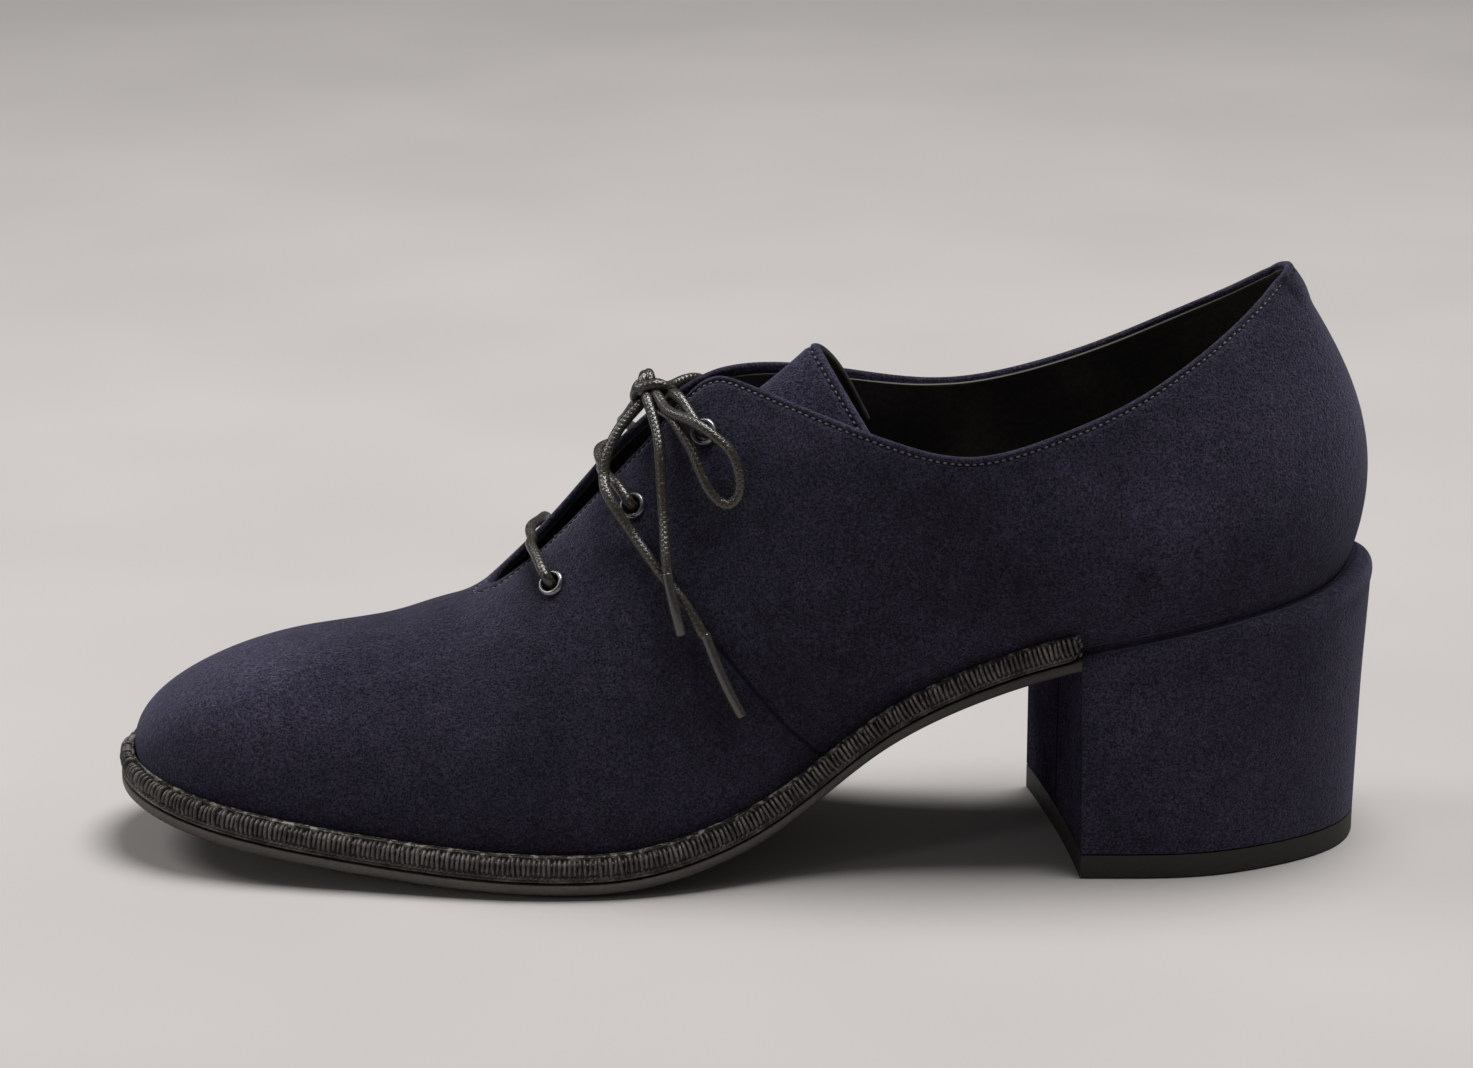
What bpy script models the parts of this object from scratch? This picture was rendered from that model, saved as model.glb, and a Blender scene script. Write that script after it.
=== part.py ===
"""Left oxford shoe with a covered block heel, built on the sections of its last.

+X runs from heel to toe, +Y to the outer side of the foot and +Z up. Every size below is in
millimetres, in the last's own frame; BOX_MIDDLE then puts the origin on the floor under the
middle of the shoe, and meshes are made in metres.
"""

from collections import namedtuple

import bmesh
import bpy
import numpy as np
from mathutils import Vector

# ---- driving sizes, millimetres ----
BOX_MIDDLE = (1.0, -0.85)
GAP = 0.3
SEAT_DROP = 0.5
UPPER_WALL = 1.8
SOLE_THICK = 2.3
SOLE_CROWN = 1.3
SOLE_EDGE = 4.6
INSOLE_THICK = 2.2
INSOLE_MARGIN = 0.7
WELT_WIDE = 4.0
WELT_HIGH = 4.6
WELT_OFFSET = 2.6
WELT_GAP = 0.45
WELT_STEPS = 36
WELT_ENDS = 28.4
WELT_CORNER = 0.4
WELT_LAST = 0.55
THROAT_X = 53.0
THROAT_ROUND = 3.5
RIDGE_Y = 1.0
CORNER_X = 2.0
CORNER_FADE = 10.0
HEEL_AXIS = (-89.6, 4.0)
HEEL_TURN = 4.9
BREAST_AHEAD = 28.0
BREAST_HOLLOW = 0.8
HEEL_HALF = 28.5
HEEL_STEPS = 15
HEEL_COLUMNS = 7
TOP_PIECE = 5.0
TOP_PIECE_INSET = 0.4
TONGUE_THICK = 2.8
TONGUE_ROWS = 15
TONGUE_COLUMNS = 11
EYELET_OUTER = 2.8
EYELET_BORE = 1.65
EYELET_BARREL = 2.05
EYELET_HIGH = 0.7
EYELET_SEAT = 0.6
EYELET_FACETS = 12
LACE = 2.3
LACE_SPACING = 2.1
LACE_PLY = 2
AGLET = 2.5
AGLET_SPACING = 1.5
KNOT_FACETS = 12
KNOT_CLEAR = 0.7
LINE_POINTS = 400
UPPER_LEVELS = 12
UPPER_STEPS = (3, 2, 3, 3, 3, 2, 4, 2, 2, 2, 2, 2, 2, 2, 2, 2, 2, 2, 2, 2)
SOLE_ROWS = 24
SOLE_COLUMNS = 7
SOLE_FULL_WIDTH = 70.0
INSOLE_ROWS = 22
WELD_WITHIN = 2e-6

# One row for each section of the last, from the toe's tip round either side to the back.
# foot: the feather line, where the wall meets the sole. out, up: how the wall leaves it.
# top: the ridge of the vamp, then the facing's edge and the topline. inn, down: how the wall
# arrives there. lat and med are the outer and the inner side of the foot.
Section = namedtuple(
    "Section",
    "name foot_x foot_lat foot_med foot_z out up top_x top_lat top_med z_lat z_med inn down",
)
SECTIONS = [
    Section("tip", 123.4, -3.5, -3.5, 15.1, 7.0, 11, 84.0, 4.2, -2.2, 44.8, 44.8, 30, 0),
    Section("toe_end", 121.4, 6.2, -13.0, 14.3, 6.5, 11, 82.5, 4.2, -2.2, 45.0, 45.0, 29, 0),
    Section("toe_turn", 115.2, 13.6, -20.0, 12.3, 5.0, 13, 79.0, 4.2, -2.2, 45.6, 45.6, 26, 0),
    Section("toe_side", 103.4, 20.3, -26.8, 9.8, 3.5, 16, 73.0, 4.2, -2.2, 46.7, 46.7, 20, 0),
    Section("toe_root", 85.0, 25.5, -31.8, 7.0, 2.5, 19, 67.0, 4.2, -2.2, 48.4, 48.4, 17, 0),
    Section("vamp", 67.0, 29.7, -34.8, 5.1, 2.5, 22, 60.0, 4.2, -2.2, 50.8, 50.8, 17, 0),
    Section("throat", 51.5, 33.0, -36.0, 4.1, 2.5, 24, 53.0, 4.2, -2.2, 54.0, 54.0, 17, 1),
    Section("facing_1", 38.5, 34.3, -35.6, 3.8, 2.5, 26, 41.0, 4.4, -4.6, 63.2, 65.0, 16, 2),
    Section("facing_2", 27.0, 34.0, -33.6, 4.2, 2.5, 28, 29.0, 4.6, -6.0, 75.8, 78.6, 14, 4),
    Section("facing_3", 17.0, 32.4, -30.6, 5.9, 2.5, 30, 18.5, 5.4, -6.4, 87.6, 88.6, 12, 6),
    Section("corner", 10.0, 30.7, -28.2, 7.9, 2.5, 30, 10.5, 8.0, -8.0, 97.0, 95.2, 10, 8),
    Section("quarter_1", 2.0, 28.5, -25.5, 11.0, 3.0, 28, 3.0, 12.0, -10.0, 98.2, 96.1, 8, 12),
    Section("quarter_2", -8.0, 26.3, -22.2, 17.0, 4.0, 26, -8.0, 18.3, -15.0, 94.8, 94.8, 6, 15),
    Section("quarter_3", -24.0, 24.5, -18.6, 28.8, 5.0, 22, -25.5, 24.2, -19.5, 88.9, 91.3, 3, 16),
    Section("waist", -43.0, 24.8, -17.2, 38.6, 6.0, 18, -42.0, 26.6, -21.0, 85.9, 89.6, 2, 16),
    Section("breast", -62.0, 26.6, -17.9, 45.2, 6.0, 16, -58.0, 26.5, -20.8, 90.0, 92.4, 3, 16),
    Section("counter_1", -80.0, 28.6, -20.8, 49.4, 5.0, 16, -73.0, 24.4, -19.0, 96.2, 97.8, 5, 16),
    Section("counter_2", -97.0, 27.2, -21.6, 53.2, 5.0, 18, -87.0, 19.8, -16.0, 104.4, 104.6, 8, 17),
    Section("counter_3", -111.0, 20.6, -17.3, 55.9, 6.0, 20, -98.0, 12.2, -10.2, 111.6, 111.2, 11, 19),
    Section("counter_4", -119.0, 10.6, -8.0, 58.3, 7.0, 22, -104.3, 5.7, -4.1, 116.3, 116.1, 13.5, 20),
    Section("back", -121.5, 1.4, 1.4, 59.6, 7.0, 22, -106.4, 0.9, 0.9, 118.3, 118.3, 14.3, 20.5),
]
LATERAL = 0
MEDIAL = 1

# The heel's plan in its own axes: distance ahead of its middle and half width there.
HeelRow = namedtuple("HeelRow", "ahead half")
HEEL_PLAN = [
    HeelRow(28.0, 26.3),
    HeelRow(14.0, 28.2),
    HeelRow(3.0, 28.5),
    HeelRow(-8.0, 26.3),
    HeelRow(-18.5, 22.3),
    HeelRow(-26.5, 17.0),
    HeelRow(-32.0, 9.5),
    HeelRow(-34.2, 0.0),
]

# The heel's side from its base to its lip: share of the height, and share of the way from the
# base's outline to the lip's.
HeelLevel = namedtuple("HeelLevel", "height share")
HEEL_LEVELS = [HeelLevel(0.0, 0.0), HeelLevel(0.3, 0.22), HeelLevel(0.65, 0.52), HeelLevel(0.9, 0.88)]

# The lip round the heel seat: distance out from the feather line at the sides and at the back,
# and height above it.
Lip = namedtuple("Lip", "side back up")
HEEL_LIP = [Lip(2.5, 4.2, -6.5), Lip(2.8, 4.5, -3.8), Lip(2.4, 3.5, -1.7), Lip(1.6, 1.9, -0.7)]
SEAT_EDGE = 0.9

# One row for each fold of the tongue, from under the vamp to its top edge: the middle's place,
# the tilt of the tongue there, and how far its sides reach and drop.
Fold = namedtuple("Fold", "name x z tilt mid_y half drop")
TONGUE = [
    Fold("root", 57.0, 46.0, 28, 1.0, 14.0, 4.5),
    Fold("throat", 47.0, 53.2, 38, 1.0, 17.0, 8.5),
    Fold("instep", 31.0, 68.0, 41, 1.2, 19.0, 14.5),
    Fold("bow", 13.0, 82.8, 41, 1.6, 18.0, 18.0),
    Fold("collar", -1.0, 93.4, 39, 2.4, 17.0, 20.0),
    Fold("edge", -12.3, 103.8, 33, 4.0, 15.5, 23.0),
]

# The eyelets on either side: where along the facing, and how far down from its edge.
Eyelet = namedtuple("Eyelet", "top_x inset")
EYELETS = [Eyelet(40.3, 12.5), Eyelet(25.0, 11.5), Eyelet(11.0, 10.5)]
SIDES = ((LATERAL, "outer"), (MEDIAL, "inner"))

# The lace's bars over the tongue, one from each pair of eyelets: how far ahead of the eyelets a
# bar crosses the outer facing's edge, the middle and the inner edge, and its rise over the edges.
Bar = namedtuple("Bar", "outer middle inner rise")
LACE_BARS = [Bar(2.6, 3.6, 3.0, 2.2), Bar(3.2, 4.8, 4.2, 2.5), Bar(3.0, 6.0, 5.2, 0.9)]
BAR_OVER_RING = 3.9
BAR_OVER_WALL = 2.05

# The bow: a knot on the third bar, and a loop and an end that leave it on either side.
KNOT_MIDDLE = (20.3, 1.5, 95.4)
KNOT_HALF = (4.6, 4.3, 3.0)
LACE_BOW = {
    "lace_loop_near": [
        (17.9, 8.2, 95.0), (16.2, 12.6, 93.7), (13.4, 17.2, 91.8), (10.6, 20.3, 91.0), (7.4, 20.5, 88.6),
        (5.0, 20.9, 85.9), (3.7, 21.5, 82.5), (3.3, 21.7, 79.4), (4.1, 21.9, 76.8), (5.9, 21.9, 75.7),
        (8.1, 21.6, 76.9), (9.9, 21.0, 79.5), (11.6, 19.3, 83.3), (13.0, 17.2, 86.4), (15.0, 13.9, 89.2),
        (16.5, 9.9, 90.8), (18.2, 6.6, 91.4),
    ],
    "lace_loop_far": [
        (22.2, -2.6, 90.6), (24.4, -5.4, 86.6), (25.4, -8.8, 84.4), (24.6, -13.0, 82.8),
        (21.6, -17.2, 79.6), (18.4, -20.6, 76.4), (15.6, -22.2, 74.6), (13.2, -22.6, 76.2),
        (12.2, -21.6, 80.6), (12.8, -18.1, 86.4), (15.2, -14.4, 91.2), (17.9, -9.4, 95.3),
        (19.2, -4.2, 95.6),
    ],
    "lace_end_near": [
        (22.0, 3.6, 91.4), (24.4, 5.2, 89.2), (26.7, 7.2, 86.8), (28.3, 9.2, 84.2), (29.4, 11.0, 81.4),
        (29.6, 12.4, 79.0), (29.4, 14.6, 77.1), (27.7, 17.0, 74.0), (24.9, 18.1, 69.8), (21.9, 20.9, 66.0),
        (18.3, 23.8, 61.5), (14.6, 26.0, 57.2), (12.0, 27.5, 53.0), (10.2, 28.2, 50.1),
    ],
    "lace_end_far": [
        (21.4, 6.6, 92.6), (20.5, 9.4, 90.3), (19.2, 12.4, 87.6), (18.7, 15.2, 84.2), (18.5, 17.4, 78.4),
        (18.2, 20.5, 72.2), (18.0, 24.8, 66.6), (17.7, 26.8, 63.0),
    ],
}
AGLETS = {
    "aglet_near": [(9.8, 28.5, 49.2), (6.7, 29.7, 41.4), (3.4, 30.2, 34.7)],
    "aglet_far": [(17.6, 27.2, 62.0), (16.4, 28.3, 56.4), (15.2, 28.6, 51.2)],
}


# ---- curves ----
def spline(knots, rows, period=None):
    """A smooth curve through the rows, closed if it has a period, as a function of its knots."""
    closed = period is not None
    knot = np.append(knots, knots[0] + period) if closed else np.asarray(knots, float)
    row = np.vstack([rows, rows[:1]]) if closed else np.asarray(rows, float)
    step = np.diff(knot)
    size = len(step) if closed else len(step) + 1
    matrix = np.eye(size)
    right = np.zeros((size, row.shape[1]))
    for i in range(size) if closed else range(1, size - 1):
        behind = row[i - 1] if i else row[-2]
        matrix[i, i] = 0
        matrix[i, (i - 1) % size] += step[i - 1]
        matrix[i, i] += 2 * (step[i - 1] + step[i])
        matrix[i, (i + 1) % size] += step[i]
        right[i] = 6 * ((row[i + 1] - row[i]) / step[i] - (row[i] - behind) / step[i - 1])
    bend = np.linalg.solve(matrix, right)
    if closed:
        bend = np.vstack([bend, bend[:1]])

    def at(parameter):
        t = np.asarray(parameter, float)
        if closed:
            t = np.mod(t - knot[0], period) + knot[0]
        i = np.clip(np.searchsorted(knot, t, side="right") - 1, 0, len(step) - 1)
        h = step[i][..., None]
        ahead = (t - knot[i])[..., None]
        behind = h - ahead
        straight = (row[i] * behind + row[i + 1] * ahead) / h
        curl = bend[i] * (behind**3 / h - behind * h) + bend[i + 1] * (ahead**3 / h - ahead * h)
        return straight + curl / 6

    return at


def evenly(points, count):
    """Evenly spaced points along a line of many points."""
    along = np.append(0, np.cumsum(np.linalg.norm(np.diff(points, axis=0), axis=1)))
    want = np.linspace(0, along[-1], count)
    return np.stack([np.interp(want, along, column) for column in points.T], axis=1)


def smooth_line(points, count):
    """Evenly spaced points on a smooth curve through a short list of points."""
    p = np.array(points, float)
    knots = np.append(0, np.cumsum(np.sqrt(np.linalg.norm(np.diff(p, axis=0), axis=1))))
    return evenly(spline(knots, p)(np.linspace(0, knots[-1], 40 * len(p))), count)


# ---- the last: every piece of the shoe reads its shape from here ----
def section_rows(side):
    keys = ("foot_lat", "top_lat", "z_lat") if side == LATERAL else ("foot_med", "top_med", "z_med")
    foot_y, top_y, top_z = keys
    return np.array(
        [
            (
                s.foot_x, getattr(s, foot_y), s.foot_z, s.out, s.up,
                s.top_x, getattr(s, top_y), getattr(s, top_z), s.inn, s.down,
            )
            for s in SECTIONS
        ],
        float,
    )


def station_knots():
    rows = section_rows(LATERAL)
    steps = np.linalg.norm(np.diff(rows[:, :3], axis=0), axis=1)
    along = np.append(0, np.cumsum(steps))
    return along / along[-1]


STATION = station_knots()
BOTH_SIDES = spline(
    np.append(STATION, 2 - STATION[-2:0:-1]),
    np.vstack([section_rows(LATERAL), section_rows(MEDIAL)[-2:0:-1]]),
    2.0,
)


def last_rows(side, stations):
    """The section values at stations from 0, the toe's tip, to 1, the back of the heel."""
    stations = np.asarray(stations, float)
    return BOTH_SIDES(stations if side == LATERAL else 2 - stations)


def outward(side, stations):
    """Unit vectors in plan that point away from the feather line."""
    d = 1e-4
    step = last_rows(side, stations + d)[:, :2] - last_rows(side, stations - d)[:, :2]
    normal = np.column_stack([step[:, 1], -step[:, 0]]) * (1 if side == LATERAL else -1)
    return normal / np.linalg.norm(normal, axis=1)[:, None]


def throat_open(x):
    """0 in front of the throat and 1 behind its rounded end."""
    near = np.clip((THROAT_X - x) / THROAT_ROUND, 0, 1)
    return np.sqrt(1 - (1 - near) ** 2)


def ridge_slope(x):
    """How fast the instep rises towards the toe, for the walls that meet on its ridge."""
    xs = np.array([s.top_x for s in SECTIONS])[::-1]
    zs = np.array([(s.z_lat + s.z_med) / 2 for s in SECTIONS])[::-1]
    fade = np.clip((x - CORNER_X) / CORNER_FADE, 0, 1)
    return fade * np.interp(x, xs, np.gradient(zs, xs))


def wall_points(side, stations, levels):
    """The upper's outer surface: for each station a curve from the foot, 0, to the top, 1."""
    stations = np.atleast_1d(np.asarray(stations, float))
    r = last_rows(side, stations)
    n = outward(side, stations)
    foot = r[:, :3]
    top = r[:, 5:8].copy()
    mirror = last_rows(MEDIAL if side == LATERAL else LATERAL, stations)
    ridge = np.column_stack([np.full(len(stations), RIDGE_Y), (r[:, 7] + mirror[:, 7]) / 2])
    top[:, 1:] = ridge + throat_open(top[:, 0])[:, None] * (top[:, 1:] - ridge)
    leave = foot + np.column_stack([n * r[:, 3:4], r[:, 4]])
    lean = ridge_slope(top[:, 0]) * n[:, 0] * r[:, 8] - r[:, 9]
    arrive = top + np.column_stack([n * r[:, 8:9], lean])
    v = np.asarray(levels, float)[None, :, None]
    return (
        (1 - v) ** 3 * foot[:, None]
        + 3 * v * (1 - v) ** 2 * leave[:, None]
        + 3 * v**2 * (1 - v) * arrive[:, None]
        + v**3 * top[:, None]
    )


def sole_points(side, stations, beyond=0.0, above=0.0):
    """Points beside the feather line, this far out from it and above it."""
    stations = np.atleast_1d(np.asarray(stations, float))
    out = outward(side, stations) * beyond
    rise = np.full(len(stations), above)
    return last_rows(side, stations)[:, :3] + np.column_stack([out, rise])


def station_of_top(x):
    """The station whose section ends at this x on the ridge, the facing or the topline."""
    stations = np.linspace(0, 1, 801)
    tops = last_rows(LATERAL, stations)[:, 5]
    return float(np.interp(-x, -tops, stations))


def wall_frame(side, top_x, inset):
    """A point this far down the wall from its top edge, with the wall's outward normal."""
    station = station_of_top(top_x)
    levels = np.linspace(1, 0.3, 141)
    rib = wall_points(side, [station], levels)[0]
    along = np.append(0, np.cumsum(np.linalg.norm(np.diff(rib, axis=0), axis=1)))
    level = float(np.interp(inset, along, levels))
    d = 1e-3
    near = wall_points(side, [station - d, station + d], [level - d, level, level + d])
    point = near[:, 1].mean(axis=0)
    normal = np.cross(near[1, 1] - near[0, 1], near[0, 2] - near[0, 0])
    normal *= 1 if side == LATERAL else -1
    return point, normal / np.linalg.norm(normal)


def breast_line(ahead):
    """A point and the direction of the line across the heel, this far ahead of its middle."""
    turn = np.radians(HEEL_TURN)
    along = np.array([np.cos(turn), np.sin(turn)])
    return np.array(HEEL_AXIS) + ahead * along, along


def station_at_breast(side, ahead, beyond):
    """The station where the line beside the feather crosses the heel's breast."""
    point, along = breast_line(ahead)
    stations = np.linspace(0.4, 0.95, 400)
    past = (sole_points(side, stations, beyond)[:, :2] - point) @ along
    return float(np.interp(0, -past, stations))


def grid_between(lateral, medial, columns):
    """Rows of points from each lateral point straight across to its medial one."""
    u = np.linspace(0, 1, columns)[None, :, None]
    return lateral[:, None] * (1 - u) + medial[:, None] * u


# ---- meshes ----
def material(name, colour, roughness, metallic=0.0):
    made = bpy.data.materials.new(name)
    made.use_nodes = True
    shader = made.node_tree.nodes["Principled BSDF"]
    shader.inputs["Base Color"].default_value = (*colour, 1.0)
    shader.inputs["Roughness"].default_value = roughness
    shader.inputs["Metallic"].default_value = metallic
    return made


def in_metres(points):
    """Millimetres of the last's frame as metres from the shoe's own origin."""
    shift = np.array([BOX_MIDDLE[0], BOX_MIDDLE[1], 0.0])
    return (np.asarray(points, float) - shift) * 0.001


def solid(name, points, faces, finish, sharp=40):
    """A closed mesh object, with doubled points welded and its faces turned outward."""
    mesh = bpy.data.meshes.new(name)
    mesh.from_pydata(in_metres(points).tolist(), [], faces)
    shape = bmesh.new()
    shape.from_mesh(mesh)
    bmesh.ops.remove_doubles(shape, verts=shape.verts, dist=WELD_WITHIN)
    bmesh.ops.triangulate(shape, faces=shape.faces)
    bmesh.ops.recalc_face_normals(shape, faces=shape.faces)
    shape.to_mesh(mesh)
    shape.free()
    mesh.shade_smooth()
    mesh.set_sharp_from_angle(angle=np.radians(sharp))
    made = bpy.data.objects.new(name, mesh)
    bpy.context.scene.collection.objects.link(made)
    made.data.materials.append(finish)
    return made


def sheet_faces(rows, columns, first=0):
    faces = []
    for i in range(rows - 1):
        for j in range(columns - 1):
            a = first + i * columns + j
            faces.append((a, a + 1, a + columns + 1, a + columns))
    return faces


def perimeter(rows, columns):
    """Indices of a sheet's edge, once round, in order."""
    side_a = [i * columns for i in range(rows)]
    far_end = [(rows - 1) * columns + j for j in range(1, columns)]
    side_b = [i * columns + columns - 1 for i in range(rows - 2, -1, -1)]
    near_end = list(range(columns - 2, 0, -1))
    return side_a + far_end + side_b + near_end


def block(name, top, bottom, rings, finish, sharp=40):
    """A solid between two sheets of points, whose edges are joined through rings of points."""
    rows, columns = top.shape[:2]
    edge = perimeter(rows, columns)
    points = [top.reshape(-1, 3), bottom.reshape(-1, 3)]
    faces = sheet_faces(rows, columns)
    faces += [face[::-1] for face in sheet_faces(rows, columns, rows * columns)]
    loops = [edge]
    start = 2 * rows * columns
    for ring in rings:
        points.append(ring)
        loops.append(list(range(start, start + len(edge))))
        start += len(edge)
    loops.append([rows * columns + k for k in edge])
    for upper, lower in zip(loops, loops[1:]):
        for k in range(len(edge)):
            after = (k + 1) % len(edge)
            faces.append((upper[k], lower[k], lower[after], upper[after]))
    return solid(name, np.vstack(points), faces, finish, sharp)


def turned(name, profile, centre, axis, segments, finish):
    """A ring turned from (radius, height) pairs about an axis through its centre."""
    axis = np.asarray(axis) / np.linalg.norm(axis)
    across = np.cross(axis, (1.0, 0.0, 0.0))
    across /= np.linalg.norm(across)
    other = np.cross(axis, across)
    points = []
    for k in range(segments):
        angle = 2 * np.pi * k / segments
        spoke = np.cos(angle) * across + np.sin(angle) * other
        points += [centre + radius * spoke + height * axis for radius, height in profile]
    count = len(profile)
    faces = []
    for k in range(segments):
        for j in range(count):
            a = k * count
            b = (k + 1) % segments * count
            after = (j + 1) % count
            faces.append((a + j, b + j, b + after, a + after))
    return solid(name, np.array(points), faces, finish)


def cut_cylinder(name, centre, axis, radius, length):
    """A round cutter through a wall."""
    mesh = bpy.data.meshes.new(name)
    shape = bmesh.new()
    bmesh.ops.create_cone(
        shape, cap_ends=True, segments=16,
        radius1=radius * 0.001, radius2=radius * 0.001, depth=length * 0.001,
    )
    shape.to_mesh(mesh)
    shape.free()
    made = bpy.data.objects.new(name, mesh)
    made.rotation_mode = "QUATERNION"
    made.rotation_quaternion = Vector(axis).to_track_quat("Z", "Y")
    made.location = in_metres(centre)
    made.hide_render = True
    made.display_type = "WIRE"
    bpy.context.scene.collection.objects.link(made)
    return made


# ---- upper ----
def upper_stations():
    """Stations round one side, closer together where the throat begins and at the toe."""
    knots = list(STATION)
    stations = []
    for k, steps in enumerate(UPPER_STEPS):
        share = np.arange(steps) / steps
        if SECTIONS[k].name == "throat":
            share = share**2
        stations += list(knots[k] + (knots[k + 1] - knots[k]) * share)
    return np.array(stations + [1.0])


def upper(finish):
    """The lasted shell: wall curves round both sides, thickened inward, open at top and foot."""
    stations = upper_stations()
    levels = np.linspace(0, 1, UPPER_LEVELS)
    lateral = wall_points(LATERAL, stations, levels)
    medial = wall_points(MEDIAL, stations, levels)[-2:0:-1]
    around = np.concatenate([lateral, medial])
    count = len(around)
    shape = bmesh.new()
    verts = [[shape.verts.new(in_metres(p)) for p in rib] for rib in around]
    for i in range(count):
        a, b = verts[i], verts[(i + 1) % count]
        for j in range(UPPER_LEVELS - 1):
            shape.faces.new((a[j], b[j], b[j + 1], a[j + 1]))
    bmesh.ops.remove_doubles(shape, verts=shape.verts, dist=WELD_WITHIN)
    bmesh.ops.recalc_face_normals(shape, faces=shape.faces)
    centre = Vector(in_metres((0.0, 0.0, 40.0)))
    outer = max(shape.faces, key=lambda f: f.calc_center_median().y)
    if outer.normal.dot(outer.calc_center_median() - centre) < 0:
        bmesh.ops.reverse_faces(shape, faces=shape.faces)
    shape.normal_update()
    skin = list(shape.verts)
    rim = [e for e in shape.edges if e.is_boundary]
    inner = {v: shape.verts.new(v.co - v.normal * UPPER_WALL * 0.001) for v in skin}
    for face in list(shape.faces):
        shape.faces.new([inner[v] for v in reversed(face.verts)])
    for edge in rim:
        a, b = edge.verts
        shape.faces.new((a, b, inner[b], inner[a]))
    bmesh.ops.triangulate(shape, faces=shape.faces)
    bmesh.ops.recalc_face_normals(shape, faces=shape.faces)
    mesh = bpy.data.meshes.new("upper")
    shape.to_mesh(mesh)
    shape.free()
    mesh.shade_smooth()
    mesh.set_sharp_from_angle(angle=np.radians(50))
    made = bpy.data.objects.new("upper", mesh)
    bpy.context.scene.collection.objects.link(made)
    made.data.materials.append(finish)
    return made


# ---- sole ----
def sole_rows(beyond, ahead, count):
    """Paired stations whose cross lines turn from square at the toe to the breast's slant."""
    ends = [station_at_breast(side, ahead, beyond) for side in (LATERAL, MEDIAL)]
    share = 1 - np.cos(np.linspace(0, 1, count) * np.pi / 2)
    share = 0.35 * share + 0.65 * np.linspace(0, 1, count) ** 1.25
    return share * ends[0], share * ends[1]


def edge_ring(rows, beyond, above, columns):
    """The points of a sheet's edge, once round, at this offset from the feather line."""
    lateral = sole_points(LATERAL, rows[0], beyond, above)
    medial = sole_points(MEDIAL, rows[1], beyond, above)
    sheet = grid_between(lateral, medial, columns)
    return sheet.reshape(-1, 3)[perimeter(*sheet.shape[:2])]


def outsole(finish):
    """The thin sole: toe spring, flat tread, rising waist and a slanted end at the breast."""
    rows = sole_rows(SOLE_EDGE, BREAST_AHEAD + SEAT_DROP, SOLE_ROWS)
    top = grid_between(
        sole_points(LATERAL, rows[0], SOLE_EDGE - 0.4, -SEAT_DROP),
        sole_points(MEDIAL, rows[1], SOLE_EDGE - 0.4, -SEAT_DROP),
        SOLE_COLUMNS,
    )
    under = grid_between(
        sole_points(LATERAL, rows[0], SOLE_EDGE - 0.9, -SEAT_DROP - SOLE_THICK),
        sole_points(MEDIAL, rows[1], SOLE_EDGE - 0.9, -SEAT_DROP - SOLE_THICK),
        SOLE_COLUMNS,
    )
    across = np.linspace(-1, 1, SOLE_COLUMNS)
    wide = np.abs(under[:, 0, 1] - under[:, -1, 1]) / SOLE_FULL_WIDTH
    crown = SOLE_CROWN * np.minimum(wide, 1)[:, None] ** 3 * (1 - np.abs(across) ** 3)[None]
    under[:, :, 2] = np.maximum(under[:, :, 2] - crown, 0.0)
    rings = [
        edge_ring(rows, SOLE_EDGE, -SEAT_DROP - 0.4, SOLE_COLUMNS),
        edge_ring(rows, SOLE_EDGE, -SEAT_DROP - SOLE_THICK + 0.9, SOLE_COLUMNS),
        edge_ring(rows, SOLE_EDGE - 0.25, -SEAT_DROP - SOLE_THICK + 0.35, SOLE_COLUMNS),
    ]
    return block("outsole", top, under, rings, finish)


def insole(finish):
    """The footbed, on the sole and the heel seat and just inside the upper's wall."""
    stations = np.linspace(0, 1, INSOLE_ROWS) ** 0.8
    inside = -(UPPER_WALL + INSOLE_MARGIN)

    def sheet(beyond, above):
        return grid_between(
            sole_points(LATERAL, stations, beyond, above),
            sole_points(MEDIAL, stations, beyond, above),
            SOLE_COLUMNS,
        )

    return block(
        "insole",
        sheet(inside - 0.5, GAP + INSOLE_THICK),
        sheet(inside - 0.3, GAP),
        [],
        finish,
    )


# ---- welt ----
def wall_reach(side, stations, heights):
    """How far the wall stands outside the feather line at heights above it."""
    levels = np.linspace(0, 0.6, 61)
    points = wall_points(side, stations, levels)
    foot = last_rows(side, stations)[:, :3]
    away = outward(side, stations)
    out = np.einsum("ijk,ik->ij", points[:, :, :2] - foot[:, None, :2], away)
    rise = points[:, :, 2] - foot[:, None, 2]
    return np.array([np.interp(heights, rise[i], out[i]) for i in range(len(stations))])


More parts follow.
